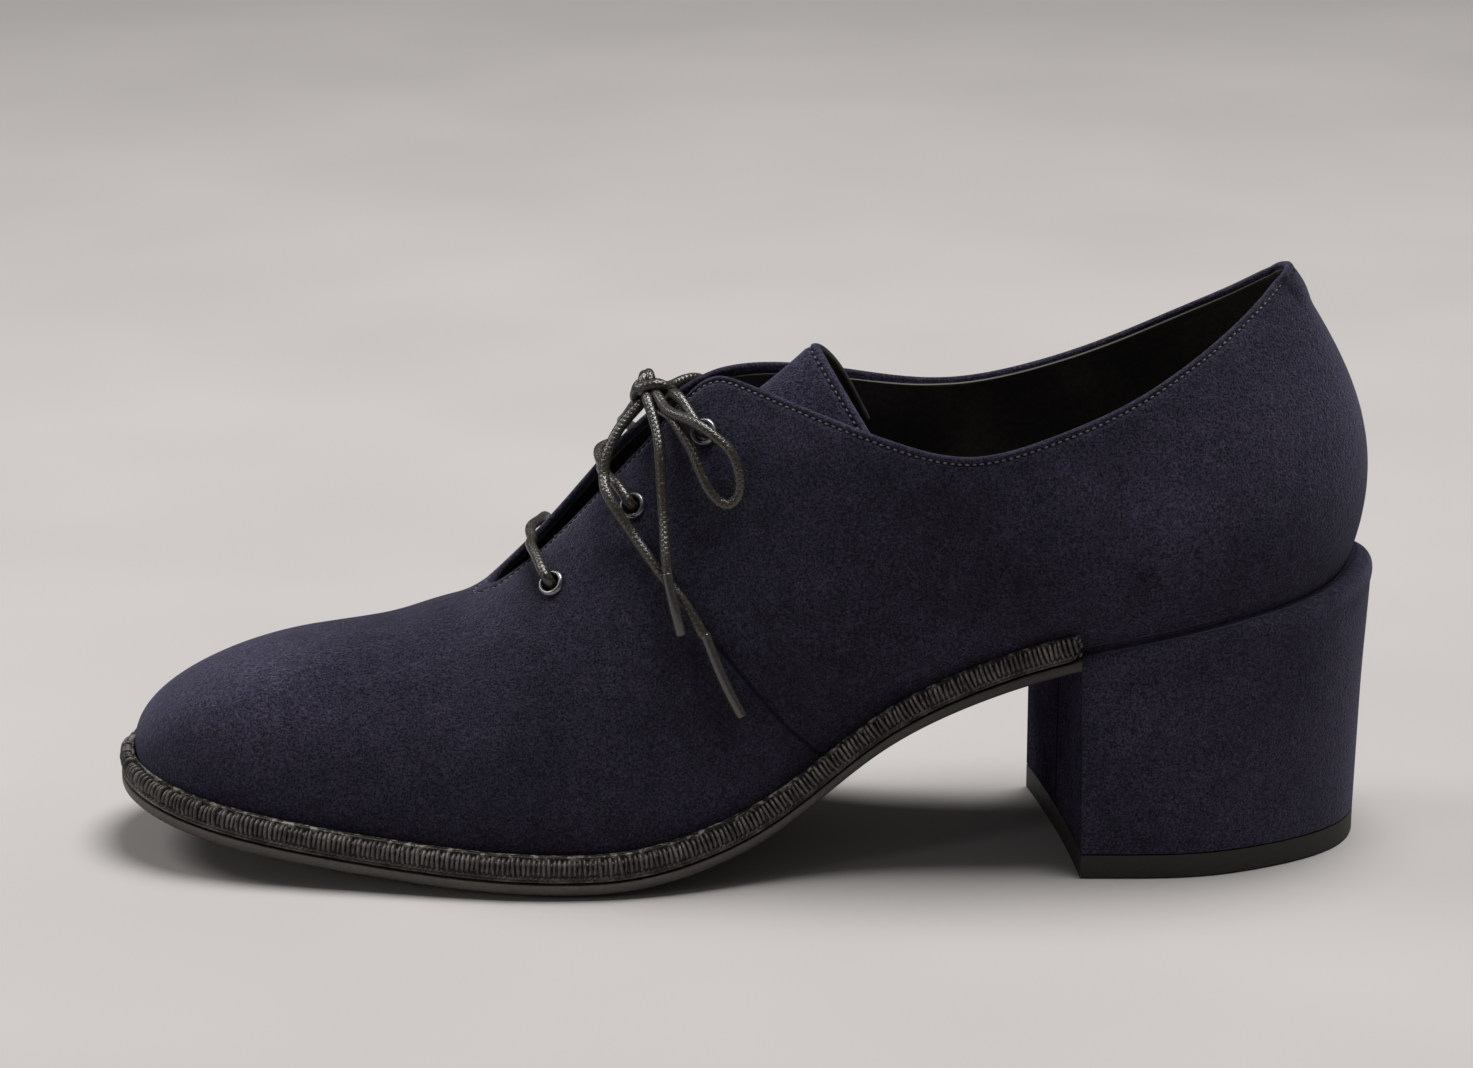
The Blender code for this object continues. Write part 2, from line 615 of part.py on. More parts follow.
def welt(finish):
    """The storm welt: a roll on the sole's edge, from one breast corner round to the other."""
    ends = [station_at_breast(side, WELT_ENDS, WELT_OFFSET) for side in (LATERAL, MEDIAL)]
    share = np.linspace(0, 1, WELT_STEPS) ** 1.2
    stations = [share * ends[0], share * ends[1]]
    half = WELT_WIDE / 2
    heights = np.array([WELT_CORNER, WELT_HIGH * 0.5, WELT_HIGH * 0.86])
    angles = np.radians((70, 35, 0, -35, -70))
    ribs = []
    for side in (LATERAL, MEDIAL):
        s = stations[side]
        reach = wall_reach(side, s, heights)
        fade = np.ones(len(s))
        fade[-1] = WELT_LAST
        away = outward(side, s)
        foot = last_rows(side, s)[:, :3]

        def at(out, up):
            rise = np.full(len(s), 1.0) * up
            return foot + np.column_stack([away * np.reshape(out, (-1, 1)), rise])

        inner = [at(reach[:, k] + WELT_GAP, height) for k, height in enumerate(heights)]
        outer = [
            at(WELT_OFFSET + fade * half * np.cos(t), WELT_HIGH / 2 * (1 + fade * np.sin(t)))
            for t in angles
        ]
        section = [at(reach[:, 0] + WELT_GAP + WELT_CORNER / 2, 0.0)] + inner + outer
        ribs.append(np.stack(section, axis=1))
    around = np.concatenate([ribs[0][::-1], ribs[1][1:]])
    count, sides = around.shape[:2]
    faces = []
    for i in range(count - 1):
        for j in range(sides):
            after = (j + 1) % sides
            a, b = i * sides, (i + 1) * sides
            faces.append((a + j, b + j, b + after, a + after))
    faces.append(list(range(sides)))
    faces.append([(count - 1) * sides + j for j in range(sides)][::-1])
    return solid("welt", around.reshape(-1, 3), faces, finish)


# ---- heel ----
def heel_outline(inset, count):
    """The heel's plan, from the breast's outer corner round the back to its inner corner."""
    table = np.array([(h.ahead, h.half) for h in HEEL_PLAN], float)
    lateral = table.copy()
    medial = table[-2::-1] * (1, -1)
    round_back = smooth_line(np.vstack([lateral, medial]), count)
    shrink = 1 - inset / HEEL_HALF
    point, along = breast_line(0.0)
    side = np.array([-along[1], along[0]])
    at_breast = round_back[:, 0] > BREAST_AHEAD - 0.5
    ahead = np.where(at_breast, round_back[:, 0], round_back[:, 0] * shrink)
    return point + ahead[:, None] * along + (round_back[:, 1] * shrink)[:, None] * side


def heel_ring(plan, z):
    return np.column_stack([plan, np.full(len(plan), z)])


def breast_row(a, b, hollow):
    """Points across the breast from a to b, hollowed towards the back in the middle."""
    _, along = breast_line(0.0)
    u = np.linspace(0, 1, HEEL_COLUMNS)[1:-1]
    row = a[None] * (1 - u)[:, None] + b[None] * u[:, None]
    row[:, :2] -= (hollow * (1 - (2 * u - 1) ** 2))[:, None] * along
    return row


def heel_solid(name, rings, seat, finish):
    """Stacked outlines with a hollowed breast, closed by a flat base and the given top sheet."""
    loops = [np.vstack([ring, breast_row(ring[-1], ring[0], BREAST_HOLLOW)]) for ring in rings]
    count = len(loops[0])
    points = list(loops)
    faces = [list(range(count))[::-1]]
    for k in range(len(loops) - 1):
        for i in range(count):
            a, b, after = k * count, (k + 1) * count, (i + 1) % count
            faces.append((a + i, a + after, b + after, b + i))
    last = (len(loops) - 1) * count
    if seat is None:
        faces.append([last + i for i in range(count)])
        return solid(name, np.vstack(points), faces, finish)
    rows, columns = seat.shape[:2]
    start = len(loops) * count
    points.append(seat.reshape(-1, 3))
    faces += sheet_faces(rows, columns, start)
    outer = [i * columns for i in range(rows)]
    inner = [i * columns + columns - 1 for i in range(rows - 2, -1, -1)]
    edge = [start + k for k in outer + inner + list(range(columns - 2, 0, -1))]
    for i in range(count):
        after = (i + 1) % count
        faces.append((last + i, last + after, edge[after], edge[i]))
    return solid(name, np.vstack(points), faces, finish)


def lip_lines(side_out, back_out, above):
    """Points beside the feather from the breast to the back, on the outer and inner side."""
    lines = []
    for side in (LATERAL, MEDIAL):
        start = station_at_breast(side, BREAST_AHEAD, side_out)
        stations = np.linspace(start, 1, HEEL_STEPS)
        turn = np.minimum(outward(side, stations)[:, 0], 0.0) ** 2
        beyond = side_out + (back_out - side_out) * turn[:, None]
        lines.append(sole_points(side, stations, beyond, above))
    return lines


def heel_block(finish):
    """The covered block: from the top piece's outline up to the lip round the heel seat."""
    lips = []
    for lip in HEEL_LIP:
        outer, inner = lip_lines(lip.side, lip.back, lip.up)
        lips.append(np.vstack([outer, inner[-2::-1]]))
    count = len(lips[0])
    base = heel_ring(heel_outline(0.0, count), TOP_PIECE + GAP)
    rings = []
    for level in HEEL_LEVELS:
        ring = base * (1 - level.share) + lips[0] * level.share
        ring[:, 2] = base[:, 2] * (1 - level.height) + lips[0][:, 2] * level.height
        rings.append(ring)
    seat = grid_between(*lip_lines(SEAT_EDGE, SEAT_EDGE, -SEAT_DROP), HEEL_COLUMNS)
    seat[0, 1:-1] = breast_row(seat[0, 0], seat[0, -1], BREAST_HOLLOW)
    return heel_solid("heel_block", rings + lips, seat, finish)


def top_piece(finish):
    """The rubber lift under the block."""
    count = 2 * HEEL_STEPS - 1
    plan = heel_outline(0.0, count)
    under = heel_outline(TOP_PIECE_INSET, count)
    rings = [heel_ring(under, 0.0), heel_ring(plan, TOP_PIECE_INSET), heel_ring(plan, TOP_PIECE)]
    return heel_solid("top_piece", rings, None, finish)


# ---- tongue ----
def sheet_normals(sheet):
    """Unit normals over a sheet of points."""
    normal = np.cross(np.gradient(sheet, axis=0), np.gradient(sheet, axis=1))
    return normal / np.linalg.norm(normal, axis=2)[:, :, None]


def tongue_sheet(rows, columns):
    """The tongue's outer face: a soft roof that falls away from its middle fold."""
    table = np.array([row[1:] for row in TONGUE], float)
    fold = spline(np.linspace(0, 1, len(table)), table)(np.linspace(0, 1, rows))
    x, z, tilt, mid_y, half, drop = fold.T
    tilt = np.radians(tilt)
    t = np.linspace(-1, 1, columns)
    roof = ((t**2 + 0.012) ** 0.7 - 0.012**0.7) / (1.012**0.7 - 0.012**0.7)
    fall = drop[:, None] * roof[None]
    return np.stack(
        [
            x[:, None] - np.sin(tilt)[:, None] * fall,
            mid_y[:, None] + half[:, None] * t[None],
            z[:, None] - np.cos(tilt)[:, None] * fall,
        ],
        axis=2,
    )


def tongue(finish):
    outer = tongue_sheet(TONGUE_ROWS, TONGUE_COLUMNS)
    normal = sheet_normals(outer)
    normal *= np.sign(normal[:, :, 2:3])
    return block("tongue", outer, outer - normal * TONGUE_THICK, [], finish)


# ---- eyelets ----
def eyelet_rings(shell, finish):
    """Gunmetal rings in holes through the facings."""
    flange = EYELET_SEAT + EYELET_HIGH
    profile = [
        (EYELET_BORE, -UPPER_WALL - GAP),
        (EYELET_BARREL, -UPPER_WALL - GAP),
        (EYELET_BARREL, EYELET_SEAT),
        (EYELET_OUTER, EYELET_SEAT),
        (EYELET_OUTER - 0.15, flange - 0.25),
        (EYELET_OUTER - 0.5, flange),
        (EYELET_BORE + 0.2, flange),
        (EYELET_BORE, flange - 0.3),
    ]
    for side, word in SIDES:
        for number, row in enumerate(EYELETS, start=1):
            centre, normal = wall_frame(side, row.top_x, row.inset)
            turned(f"eyelet_{word}_{number}", profile, centre, normal, EYELET_FACETS, finish)
            hole = cut_cylinder(f"cut_{word}_{number}", centre, normal, EYELET_BARREL + GAP, 9.0)
            cut = shell.modifiers.new(hole.name, "BOOLEAN")
            cut.operation = "DIFFERENCE"
            cut.solver = "EXACT"
            cut.object = hole


# ---- lace ----
def tube(name, line, width, spacing, finish):
    """A round cord along a line of many points, with a point every few widths and flat ends."""
    length = np.linalg.norm(np.diff(line, axis=0), axis=1).sum()
    points = evenly(line, max(3, round(length / (spacing * width)) + 1))
    curve = bpy.data.curves.new(name, "CURVE")
    curve.dimensions = "3D"
    curve.bevel_depth = width * 0.0005
    curve.bevel_resolution = LACE_PLY
    curve.use_fill_caps = True
    strand = curve.splines.new("POLY")
    strand.points.add(len(points) - 1)
    for place, point in zip(strand.points, in_metres(points)):
        place.co = (*point, 1.0)
    strand.use_smooth = True
    made = bpy.data.objects.new(name, curve)
    bpy.context.scene.collection.objects.link(made)
    made.data.materials.append(finish)


def over_wall(side, top_x, inset, above):
    """A point this far above the wall, seen from its top edge at this x."""
    point, normal = wall_frame(side, top_x, inset)
    return point + normal * above


def bar_side(side, eyelet, ahead):
    """One end of a bar, from above its eyelet's ring up to the facing's edge."""
    half_way = over_wall(side, eyelet.top_x + ahead / 2, eyelet.inset / 2, BAR_OVER_WALL)
    edge = over_wall(side, eyelet.top_x + ahead, 0.0, BAR_OVER_WALL)
    ring = over_wall(side, eyelet.top_x, eyelet.inset, BAR_OVER_RING)
    return [ring, half_way, edge]


def lace_bars(finish):
    """Each bar lies on one facing from its eyelet's ring, over the tongue and on the other facing."""
    for number, (eyelet, bar) in enumerate(zip(EYELETS, LACE_BARS), start=1):
        outer = bar_side(LATERAL, eyelet, bar.outer)
        inner = bar_side(MEDIAL, eyelet, bar.inner)
        edges = [over_wall(side, eyelet.top_x + bar.middle, 0.0, 0.0) for side in (LATERAL, MEDIAL)]
        middle = (edges[0] + edges[1]) / 2 + (0.0, 0.0, bar.rise)
        route = outer + [middle] + inner[::-1]
        tube(f"lace_bar_{number}", smooth_line(route, LINE_POINTS), LACE, LACE_SPACING, finish)


def outside_knot(route):
    """The part of a route from the knot's middle that lies clear of the knot."""
    line = smooth_line(route, LINE_POINTS)
    reach = (line - KNOT_MIDDLE) / (np.array(KNOT_HALF) + KNOT_CLEAR)
    return line[np.linalg.norm(reach, axis=1) > 1.0]


def knot(finish):
    """The bow's knot, one plain rounded solid."""
    mesh = bpy.data.meshes.new("lace_knot")
    shape = bmesh.new()
    bmesh.ops.create_uvsphere(shape, u_segments=KNOT_FACETS, v_segments=KNOT_FACETS // 2 + 2, radius=1.0)
    middle = in_metres(KNOT_MIDDLE)
    for vert in shape.verts:
        vert.co = middle + np.array(vert.co) * np.array(KNOT_HALF) * 0.001
    bmesh.ops.triangulate(shape, faces=shape.faces)
    shape.to_mesh(mesh)
    shape.free()
    mesh.shade_smooth()
    made = bpy.data.objects.new("lace_knot", mesh)
    bpy.context.scene.collection.objects.link(made)
    made.data.materials.append(finish)


def bow(lace_finish, tip_finish):
    """The knot, the loops that leave it and come back, and the two ends with their tips."""
    knot(lace_finish)
    for name, route in LACE_BOW.items():
        back = [KNOT_MIDDLE] if "loop" in name else []
        line = outside_knot([KNOT_MIDDLE] + route + back)
        tube(name, line, LACE, LACE_SPACING, lace_finish)
    for name, route in AGLETS.items():
        tube(name, smooth_line(route, LINE_POINTS), AGLET, AGLET_SPACING, tip_finish)


# ---- the shoe ----
for leftover in list(bpy.data.objects):
    bpy.data.objects.remove(leftover, do_unlink=True)

suede = material("suede", (0.020, 0.021, 0.034), 0.95)
lining = material("lining_leather", (0.014, 0.014, 0.016), 0.55)
sole_leather = material("sole_leather", (0.020, 0.015, 0.012), 0.5)
welt_leather = material("welt_leather", (0.018, 0.014, 0.012), 0.45)
rubber = material("rubber", (0.022, 0.022, 0.023), 0.8)
gunmetal = material("gunmetal", (0.20, 0.20, 0.22), 0.35, 1.0)
waxed_lace = material("waxed_lace", (0.035, 0.030, 0.027), 0.6)

shell = upper(suede)
outsole(sole_leather)
insole(lining)
tongue(suede)
welt(welt_leather)
heel_block(suede)
top_piece(rubber)
eyelet_rings(shell, gunmetal)
lace_bars(waxed_lace)
bow(waxed_lace, waxed_lace)
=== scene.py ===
"""Left lace-up oxford of dark navy suede on a covered block heel: the finish of every surface, the
stitching, the ribbed welt, the eyelets and the laces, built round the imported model.

Sizes are millimetres in the last's own frame, as in the part's source; in_metres() then puts them
into the shoe's frame: +X to the toe, +Y to the outer side of the foot, +Z up, floor at 0.
"""

from collections import namedtuple

import bmesh
import bpy
import numpy as np
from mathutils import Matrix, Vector
from mathutils.kdtree import KDTree


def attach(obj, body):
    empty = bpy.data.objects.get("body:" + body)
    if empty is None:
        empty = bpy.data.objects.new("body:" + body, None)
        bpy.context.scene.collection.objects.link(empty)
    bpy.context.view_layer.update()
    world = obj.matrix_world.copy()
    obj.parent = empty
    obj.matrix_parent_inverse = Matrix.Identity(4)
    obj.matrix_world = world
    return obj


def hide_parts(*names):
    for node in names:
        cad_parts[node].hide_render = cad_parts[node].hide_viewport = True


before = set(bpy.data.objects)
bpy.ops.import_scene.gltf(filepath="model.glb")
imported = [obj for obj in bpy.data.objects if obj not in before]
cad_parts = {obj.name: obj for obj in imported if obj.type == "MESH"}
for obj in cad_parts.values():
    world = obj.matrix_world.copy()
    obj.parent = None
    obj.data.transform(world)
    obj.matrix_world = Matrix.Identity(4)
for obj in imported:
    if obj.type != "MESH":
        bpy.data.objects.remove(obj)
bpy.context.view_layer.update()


# ---- upper: the suede ----
# Vamp, quarters and counter of one dark navy suede, closed by a slanted seam on either side, pulled
# over the last and turned under at the feather line. The topline and the facings are turned edges
# with one row of stitches; six holes take the eyelets.
LATERAL = 0
MEDIAL = 1
SIDES = {LATERAL: "outer", MEDIAL: "inner"}
BOX_MIDDLE = np.array([1.0, -0.85, 0.0])
UPPER_WALL = 1.8
SUEDE_THICK = 1.0
THROAT_X = 53.0
THROAT_ROUND = 3.5
THROAT_SPREAD = 14
THROAT_SOFT = (8.0, 15.0)
RIDGE_Y = 1.0
CORNER_X = 2.0
CORNER_FADE = 10.0
WELD = 2e-6

# One row for each section of the last, from the toe's tip round either side to the back.
# foot: the feather line. out, up: how the wall leaves it. top: the ridge, then the facing's edge
# and the topline. inn, down: how the wall arrives there. lat and med: outer and inner side.
Section = namedtuple(
    "Section",
    "name foot_x foot_lat foot_med foot_z out up top_x top_lat top_med z_lat z_med inn down",
)
SECTIONS = [
    Section("tip", 123.4, -3.5, -3.5, 15.1, 7.0, 11, 84.0, 4.2, -2.2, 44.8, 44.8, 30, 0),
    Section("toe_end", 121.4, 6.2, -13.0, 14.3, 6.5, 11, 82.5, 4.2, -2.2, 45.0, 45.0, 29, 0),
    Section("toe_turn", 115.2, 13.6, -20.0, 12.3, 5.0, 13, 79.0, 4.2, -2.2, 45.6, 45.6, 26, 0),
    Section("toe_side", 103.4, 20.3, -26.8, 9.8, 3.5, 16, 73.0, 4.2, -2.2, 46.7, 46.7, 20, 0),
    Section("toe_root", 85.0, 25.5, -31.8, 7.0, 2.5, 19, 67.0, 4.2, -2.2, 48.4, 48.4, 17, 0),
    Section("vamp", 67.0, 29.7, -34.8, 5.1, 2.5, 22, 60.0, 4.2, -2.2, 50.8, 50.8, 17, 0),
    Section("throat", 51.5, 33.0, -36.0, 4.1, 2.5, 24, 53.0, 4.2, -2.2, 54.0, 54.0, 17, 1),
    Section("facing_1", 38.5, 34.3, -35.6, 3.8, 2.5, 26, 41.0, 4.4, -4.6, 63.2, 65.0, 16, 2),
    Section("facing_2", 27.0, 34.0, -33.6, 4.2, 2.5, 28, 29.0, 4.6, -6.0, 75.8, 78.6, 14, 4),
    Section("facing_3", 17.0, 32.4, -30.6, 5.9, 2.5, 30, 18.5, 5.4, -6.4, 87.6, 88.6, 12, 6),
    Section("corner", 10.0, 30.7, -28.2, 7.9, 2.5, 30, 10.5, 8.0, -8.0, 97.0, 93.7, 10, 8),
    Section("quarter_1", 2.0, 28.5, -25.5, 11.0, 3.0, 28, 3.0, 12.0, -10.0, 98.2, 95.8, 8, 12),
    Section("quarter_2", -8.0, 26.3, -22.2, 17.0, 4.0, 26, -8.0, 18.3, -15.0, 94.8, 94.8, 6, 15),
    Section("quarter_3", -24.0, 24.5, -18.6, 28.8, 5.0, 22, -25.5, 24.2, -19.5, 88.9, 91.3, 3, 16),
    Section("waist", -43.0, 24.8, -17.2, 38.6, 6.0, 18, -42.0, 26.6, -21.0, 85.9, 89.6, 2, 16),
    Section("breast", -62.0, 26.6, -17.9, 45.2, 6.0, 16, -58.0, 26.5, -20.8, 90.0, 92.4, 3, 16),
    Section("counter_1", -80.0, 28.6, -20.8, 49.4, 5.0, 16, -73.0, 24.4, -19.0, 96.2, 97.8, 5, 16),
    Section("counter_2", -97.0, 27.2, -21.6, 53.2, 5.0, 18, -87.0, 19.8, -16.0, 104.4, 104.6, 8, 17),
    Section("counter_3", -111.0, 20.6, -17.3, 55.9, 6.0, 20, -98.0, 12.2, -10.2, 111.6, 111.2, 11, 19),
    Section("counter_4", -119.0, 10.6, -8.0, 58.3, 7.0, 22, -104.3, 5.7, -4.1, 116.3, 116.1, 13.5, 20),
    Section("back", -121.5, 1.4, 1.4, 59.6, 7.0, 22, -106.4, 0.9, 0.9, 117.6, 117.6, 14.3, 20.5),
]


def spline(knots, rows, period=None):
    """A smooth curve through the rows, closed if it has a period, as a function of its knots."""
    closed = period is not None
    knot = np.append(knots, knots[0] + period) if closed else np.asarray(knots, float)
    row = np.vstack([rows, rows[:1]]) if closed else np.asarray(rows, float)
    step = np.diff(knot)
    size = len(step) if closed else len(step) + 1
    matrix = np.eye(size)
    right = np.zeros((size, row.shape[1]))
    for i in range(size) if closed else range(1, size - 1):
        behind = row[i - 1] if i else row[-2]
        matrix[i, i] = 0
        matrix[i, (i - 1) % size] += step[i - 1]
        matrix[i, i] += 2 * (step[i - 1] + step[i])
        matrix[i, (i + 1) % size] += step[i]
        right[i] = 6 * ((row[i + 1] - row[i]) / step[i] - (row[i] - behind) / step[i - 1])
    bend = np.linalg.solve(matrix, right)
    if closed:
        bend = np.vstack([bend, bend[:1]])

    def at(parameter):
        t = np.asarray(parameter, float)
        if closed:
            t = np.mod(t - knot[0], period) + knot[0]
        i = np.clip(np.searchsorted(knot, t, side="right") - 1, 0, len(step) - 1)
        h = step[i][..., None]
        ahead = (t - knot[i])[..., None]
        behind = h - ahead
        straight = (row[i] * behind + row[i + 1] * ahead) / h
        curl = bend[i] * (behind**3 / h - behind * h) + bend[i + 1] * (ahead**3 / h - ahead * h)
        return straight + curl / 6

    return at


def section_rows(side):
    """The sections as rows of foot x, y, z, out, up, top x, y, z, inn and down on one side."""
    table = np.array([section[1:] for section in SECTIONS], float)
    return table[:, [0, 1 + side, 3, 4, 5, 6, 7 + side, 9 + side, 11, 12]]


def run_along(points):
    """How far along a line each of its points is."""
    return np.append(0, np.cumsum(np.linalg.norm(np.diff(points, axis=0), axis=1)))


STATION = run_along(section_rows(LATERAL)[:, :3])
STATION /= STATION[-1]
BOTH_SIDES = spline(
    np.append(STATION, 2 - STATION[-2:0:-1]),
    np.vstack([section_rows(LATERAL), section_rows(MEDIAL)[-2:0:-1]]),
    2.0,
)


def last_rows(side, stations):
    """The section values at stations from 0, the toe's tip, to 1, the back of the heel."""
    stations = np.asarray(stations, float)
    return BOTH_SIDES(stations if side == LATERAL else 2 - stations)


def outward(side, stations):
    """Unit vectors in plan that point away from the feather line."""
    d = 1e-4
    step = last_rows(side, stations + d)[:, :2] - last_rows(side, stations - d)[:, :2]
    normal = np.column_stack([step[:, 1], -step[:, 0]]) * (1 if side == LATERAL else -1)
    return normal / np.linalg.norm(normal, axis=1)[:, None]


def throat_open(x):
    """0 in front of the throat and 1 behind its rounded end."""
    near = np.clip((THROAT_X - x) / THROAT_ROUND, 0, 1)
    return np.sqrt(1 - (1 - near) ** 2)


def throat_soft(x):
    """The same, spread along the instep for the suede below the throat's edge."""
    near = np.clip((THROAT_X + THROAT_SOFT[0] - x) / THROAT_SOFT[1], 0, 1)
    return near * near * (3 - 2 * near)


def ridge_slope(x):
    """How fast the instep rises towards the toe, for the walls that meet on its ridge."""
    xs = np.array([s.top_x for s in SECTIONS])[::-1]
    zs = np.array([(s.z_lat + s.z_med) / 2 for s in SECTIONS])[::-1]
    fade = np.clip((x - CORNER_X) / CORNER_FADE, 0, 1)
    return fade * np.interp(x, xs, np.gradient(zs, xs))


def wall_points(side, stations, levels):
    """The upper's outer surface: for each station a curve from the foot, 0, to the top, 1."""
    stations = np.atleast_1d(np.asarray(stations, float))
    r = last_rows(side, stations)
    n = outward(side, stations)
    foot = r[:, :3]
    mirror = last_rows(1 - side, stations)
    ridge = np.column_stack([np.full(len(stations), RIDGE_Y), (r[:, 7] + mirror[:, 7]) / 2])
    leave = foot + np.column_stack([n * r[:, 3:4], r[:, 4]])
    lean = ridge_slope(r[:, 5]) * n[:, 0] * r[:, 8] - r[:, 9]
    v = np.asarray(levels, float)[None, :, None]

    def rising_to(opened):
        top = r[:, 5:8].copy()
        top[:, 1:] = ridge + opened[:, None] * (top[:, 1:] - ridge)
        arrive = top + np.column_stack([n * r[:, 8:9], lean])
        return (
            (1 - v) ** 3 * foot[:, None]
            + 3 * v * (1 - v) ** 2 * leave[:, None]
            + 3 * v**2 * (1 - v) * arrive[:, None]
            + v**3 * top[:, None]
        )

    at_rim = v**THROAT_SPREAD
    return rising_to(throat_soft(r[:, 5])) * (1 - at_rim) + rising_to(throat_open(r[:, 5])) * at_rim


def station_of_top(x):
    """The station whose section ends at this x on the ridge, the facing or the topline."""
    stations = np.linspace(0, 1, 801)
    tops = last_rows(LATERAL, stations)[:, 5]
    return np.interp(-np.asarray(x, float), -tops, stations)


def on_wall(side, top_x, inset, above=0.0):
    """Points this far down the wall from its top edge and above it, with the outward normals."""
    points, normals = [], []
    levels = np.linspace(1, 0.3, 141)
    d = 1e-3
    for x, down in zip(*np.broadcast_arrays(np.atleast_1d(top_x), np.atleast_1d(inset))):
        station = float(station_of_top(x))
        level = float(np.interp(down, run_along(wall_points(side, [station], levels)[0]), levels))
        near = wall_points(side, [station - d, station + d], [level - d, level, level + d])
        normal = np.cross(near[1, 1] - near[0, 1], near[0, 2] - near[0, 0])
        normal *= 1 if side == LATERAL else -1
        points.append(near[:, 1].mean(axis=0))
        normals.append(normal / np.linalg.norm(normal))
    normals = np.array(normals)
    return np.array(points) + normals * above, normals


def in_metres(points):
    """Millimetres of the last's frame as metres from the shoe's own origin."""
    return (np.asarray(points, float) - BOX_MIDDLE) * 0.001


def places_of(mesh):
    """The points of a mesh as millimetres in the last's own frame."""
    flat = np.empty(len(mesh.vertices) * 3, np.float32)
    mesh.vertices.foreach_get("co", flat)
    return flat.reshape(-1, 3) * 1000 + BOX_MIDDLE


def linked(name, data):
    """An object with this mesh, lamp or lens, in the scene."""
    made = bpy.data.objects.new(name, data)
    bpy.context.scene.collection.objects.link(made)
    return made


def piece(name, mesh, finish, slot, *nodes):
    """Links a finished mesh that rides with the shoe and stands for these nodes."""
    made = linked(name, mesh)
    if not mesh.materials:
        mesh.materials.append(finish)
    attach(made, "root")
    if nodes:
        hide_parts(*nodes)
    return made


def mark(mesh, name, values):
    """Keeps a number at each point of a mesh for its material to read."""
    kept = mesh.attributes.get(name) or mesh.attributes.new(name, "FLOAT", "POINT")
    kept.data.foreach_set("value", np.broadcast_to(np.asarray(values, np.float32), len(mesh.vertices)))


def smooth_mesh(mesh, shape, sharp=60):
    """Writes a worked shape into a mesh, smooth but for its sharper edges."""
    shape.to_mesh(mesh)
    shape.free()
    mesh.shade_smooth()
    mesh.set_sharp_from_angle(angle=np.radians(sharp))
    return mesh


def mesh_of(name, points, faces, sharp=40, **marks):
    """A closed mesh, turned outward, from points in millimetres, faces and marks at the points."""
    mesh = bpy.data.meshes.new(name)
    mesh.from_pydata(in_metres(points).tolist(), [], faces)
    for word, values in marks.items():
        mark(mesh, word, values.ravel())
    shape = bmesh.new()
    shape.from_mesh(mesh)
    bmesh.ops.remove_doubles(shape, verts=shape.verts, dist=WELD)
    bmesh.ops.recalc_face_normals(shape, faces=shape.faces)
    return smooth_mesh(mesh, shape, sharp)


class Graph:
    """A node tree in the making. What a node is given is a number, a colour or a socket."""

    def __init__(self, tree):
        self.tree = tree

    def join(self, value, socket):
        if isinstance(value, bpy.types.NodeSocket):
            self.tree.links.new(value, socket)
        else:
            socket.default_value = value

    def add(self, kind, settings=None, **inputs):
        """Adds a node and returns its outputs. Its inputs go by name, or by number as _0 and on."""
        made = self.tree.nodes.new(kind)
        for key, value in (settings or {}).items():
            setattr(made, key, value)
        for key, value in inputs.items():
            if key.startswith("_"):
                socket = made.inputs[int(key[1:])]
            else:
                socket = next(s for s in made.inputs if s.name == key and s.enabled)
            self.join(value, socket)
        return made.outputs

    def math(self, operation, a, b=0.0, clamp=False):
        settings = {"operation": operation, "use_clamp": clamp}
        return self.add("ShaderNodeMath", settings, _0=a, _1=b)[0]

    def plus(self, a, b):
        return self.math("ADD", a, b)

    def minus(self, a, b):
        return self.math("SUBTRACT", a, b)

    def times(self, a, b):
        return self.math("MULTIPLY", a, b)

    def mix(self, share, a, b, mode="MIX"):
        """A colour between two colours."""
        settings = {"data_type": "RGBA", "blend_type": mode}
        return self.add("ShaderNodeMix", settings, _0=share, _6=a, _7=b)[2]

    def spread(self, value, low, high, to_low=0.0, to_high=1.0):
        """A value's range stretched to another, and held there."""
        return self.add("ShaderNodeMapRange", _0=value, _1=low, _2=high, _3=to_low, _4=to_high)[0]

    def noise(self, place, scale, detail, roughness):
        sizes = {"Scale": scale, "Detail": detail, "Roughness": roughness}
        return self.add("ShaderNodeTexNoise", Vector=place, **sizes)[0]

    def vector(self, x=0.0, y=0.0, z=0.0):
        return self.add("ShaderNodeCombineXYZ", X=x, Y=y, Z=z)[0]


def new_tree(kind, name, inputs, outputs):
    """A node tree with these sockets; returns its graph, what it is given and its result."""
    tree = bpy.data.node_groups.new(name, kind)
    for way, sockets in (("INPUT", inputs), ("OUTPUT", outputs)):
        for word, value in sockets.items():
            sort = value if isinstance(value, str) else "Float"
            socket = tree.interface.new_socket(name=word, in_out=way, socket_type="NodeSocket" + sort)
            if sort == "Float":
                socket.default_value = value
    ends = tree.nodes.new("NodeGroupInput").outputs, tree.nodes.new("NodeGroupOutput").inputs
    return Graph(tree), *ends


def grain_effect():
    """Close grain of one size: a tone to multiply a colour by, and a height for the bump."""
    sizes = {"Vector": "Vector", "Scale": 1000.0, "Fineness": 0.6, "Dark": 0.5, "Light": 1.5}
    graph, given, result = new_tree("ShaderNodeTree", "grain", sizes, {"Tone": 0.0, "Height": 0.0})
    noise = graph.noise(given["Vector"], given["Scale"], 3.0, given["Fineness"])
    graph.join(graph.spread(noise, 0.38, 0.62, given["Dark"], given["Light"]), result["Tone"])
    graph.join(noise, result["Height"])
    return graph.tree


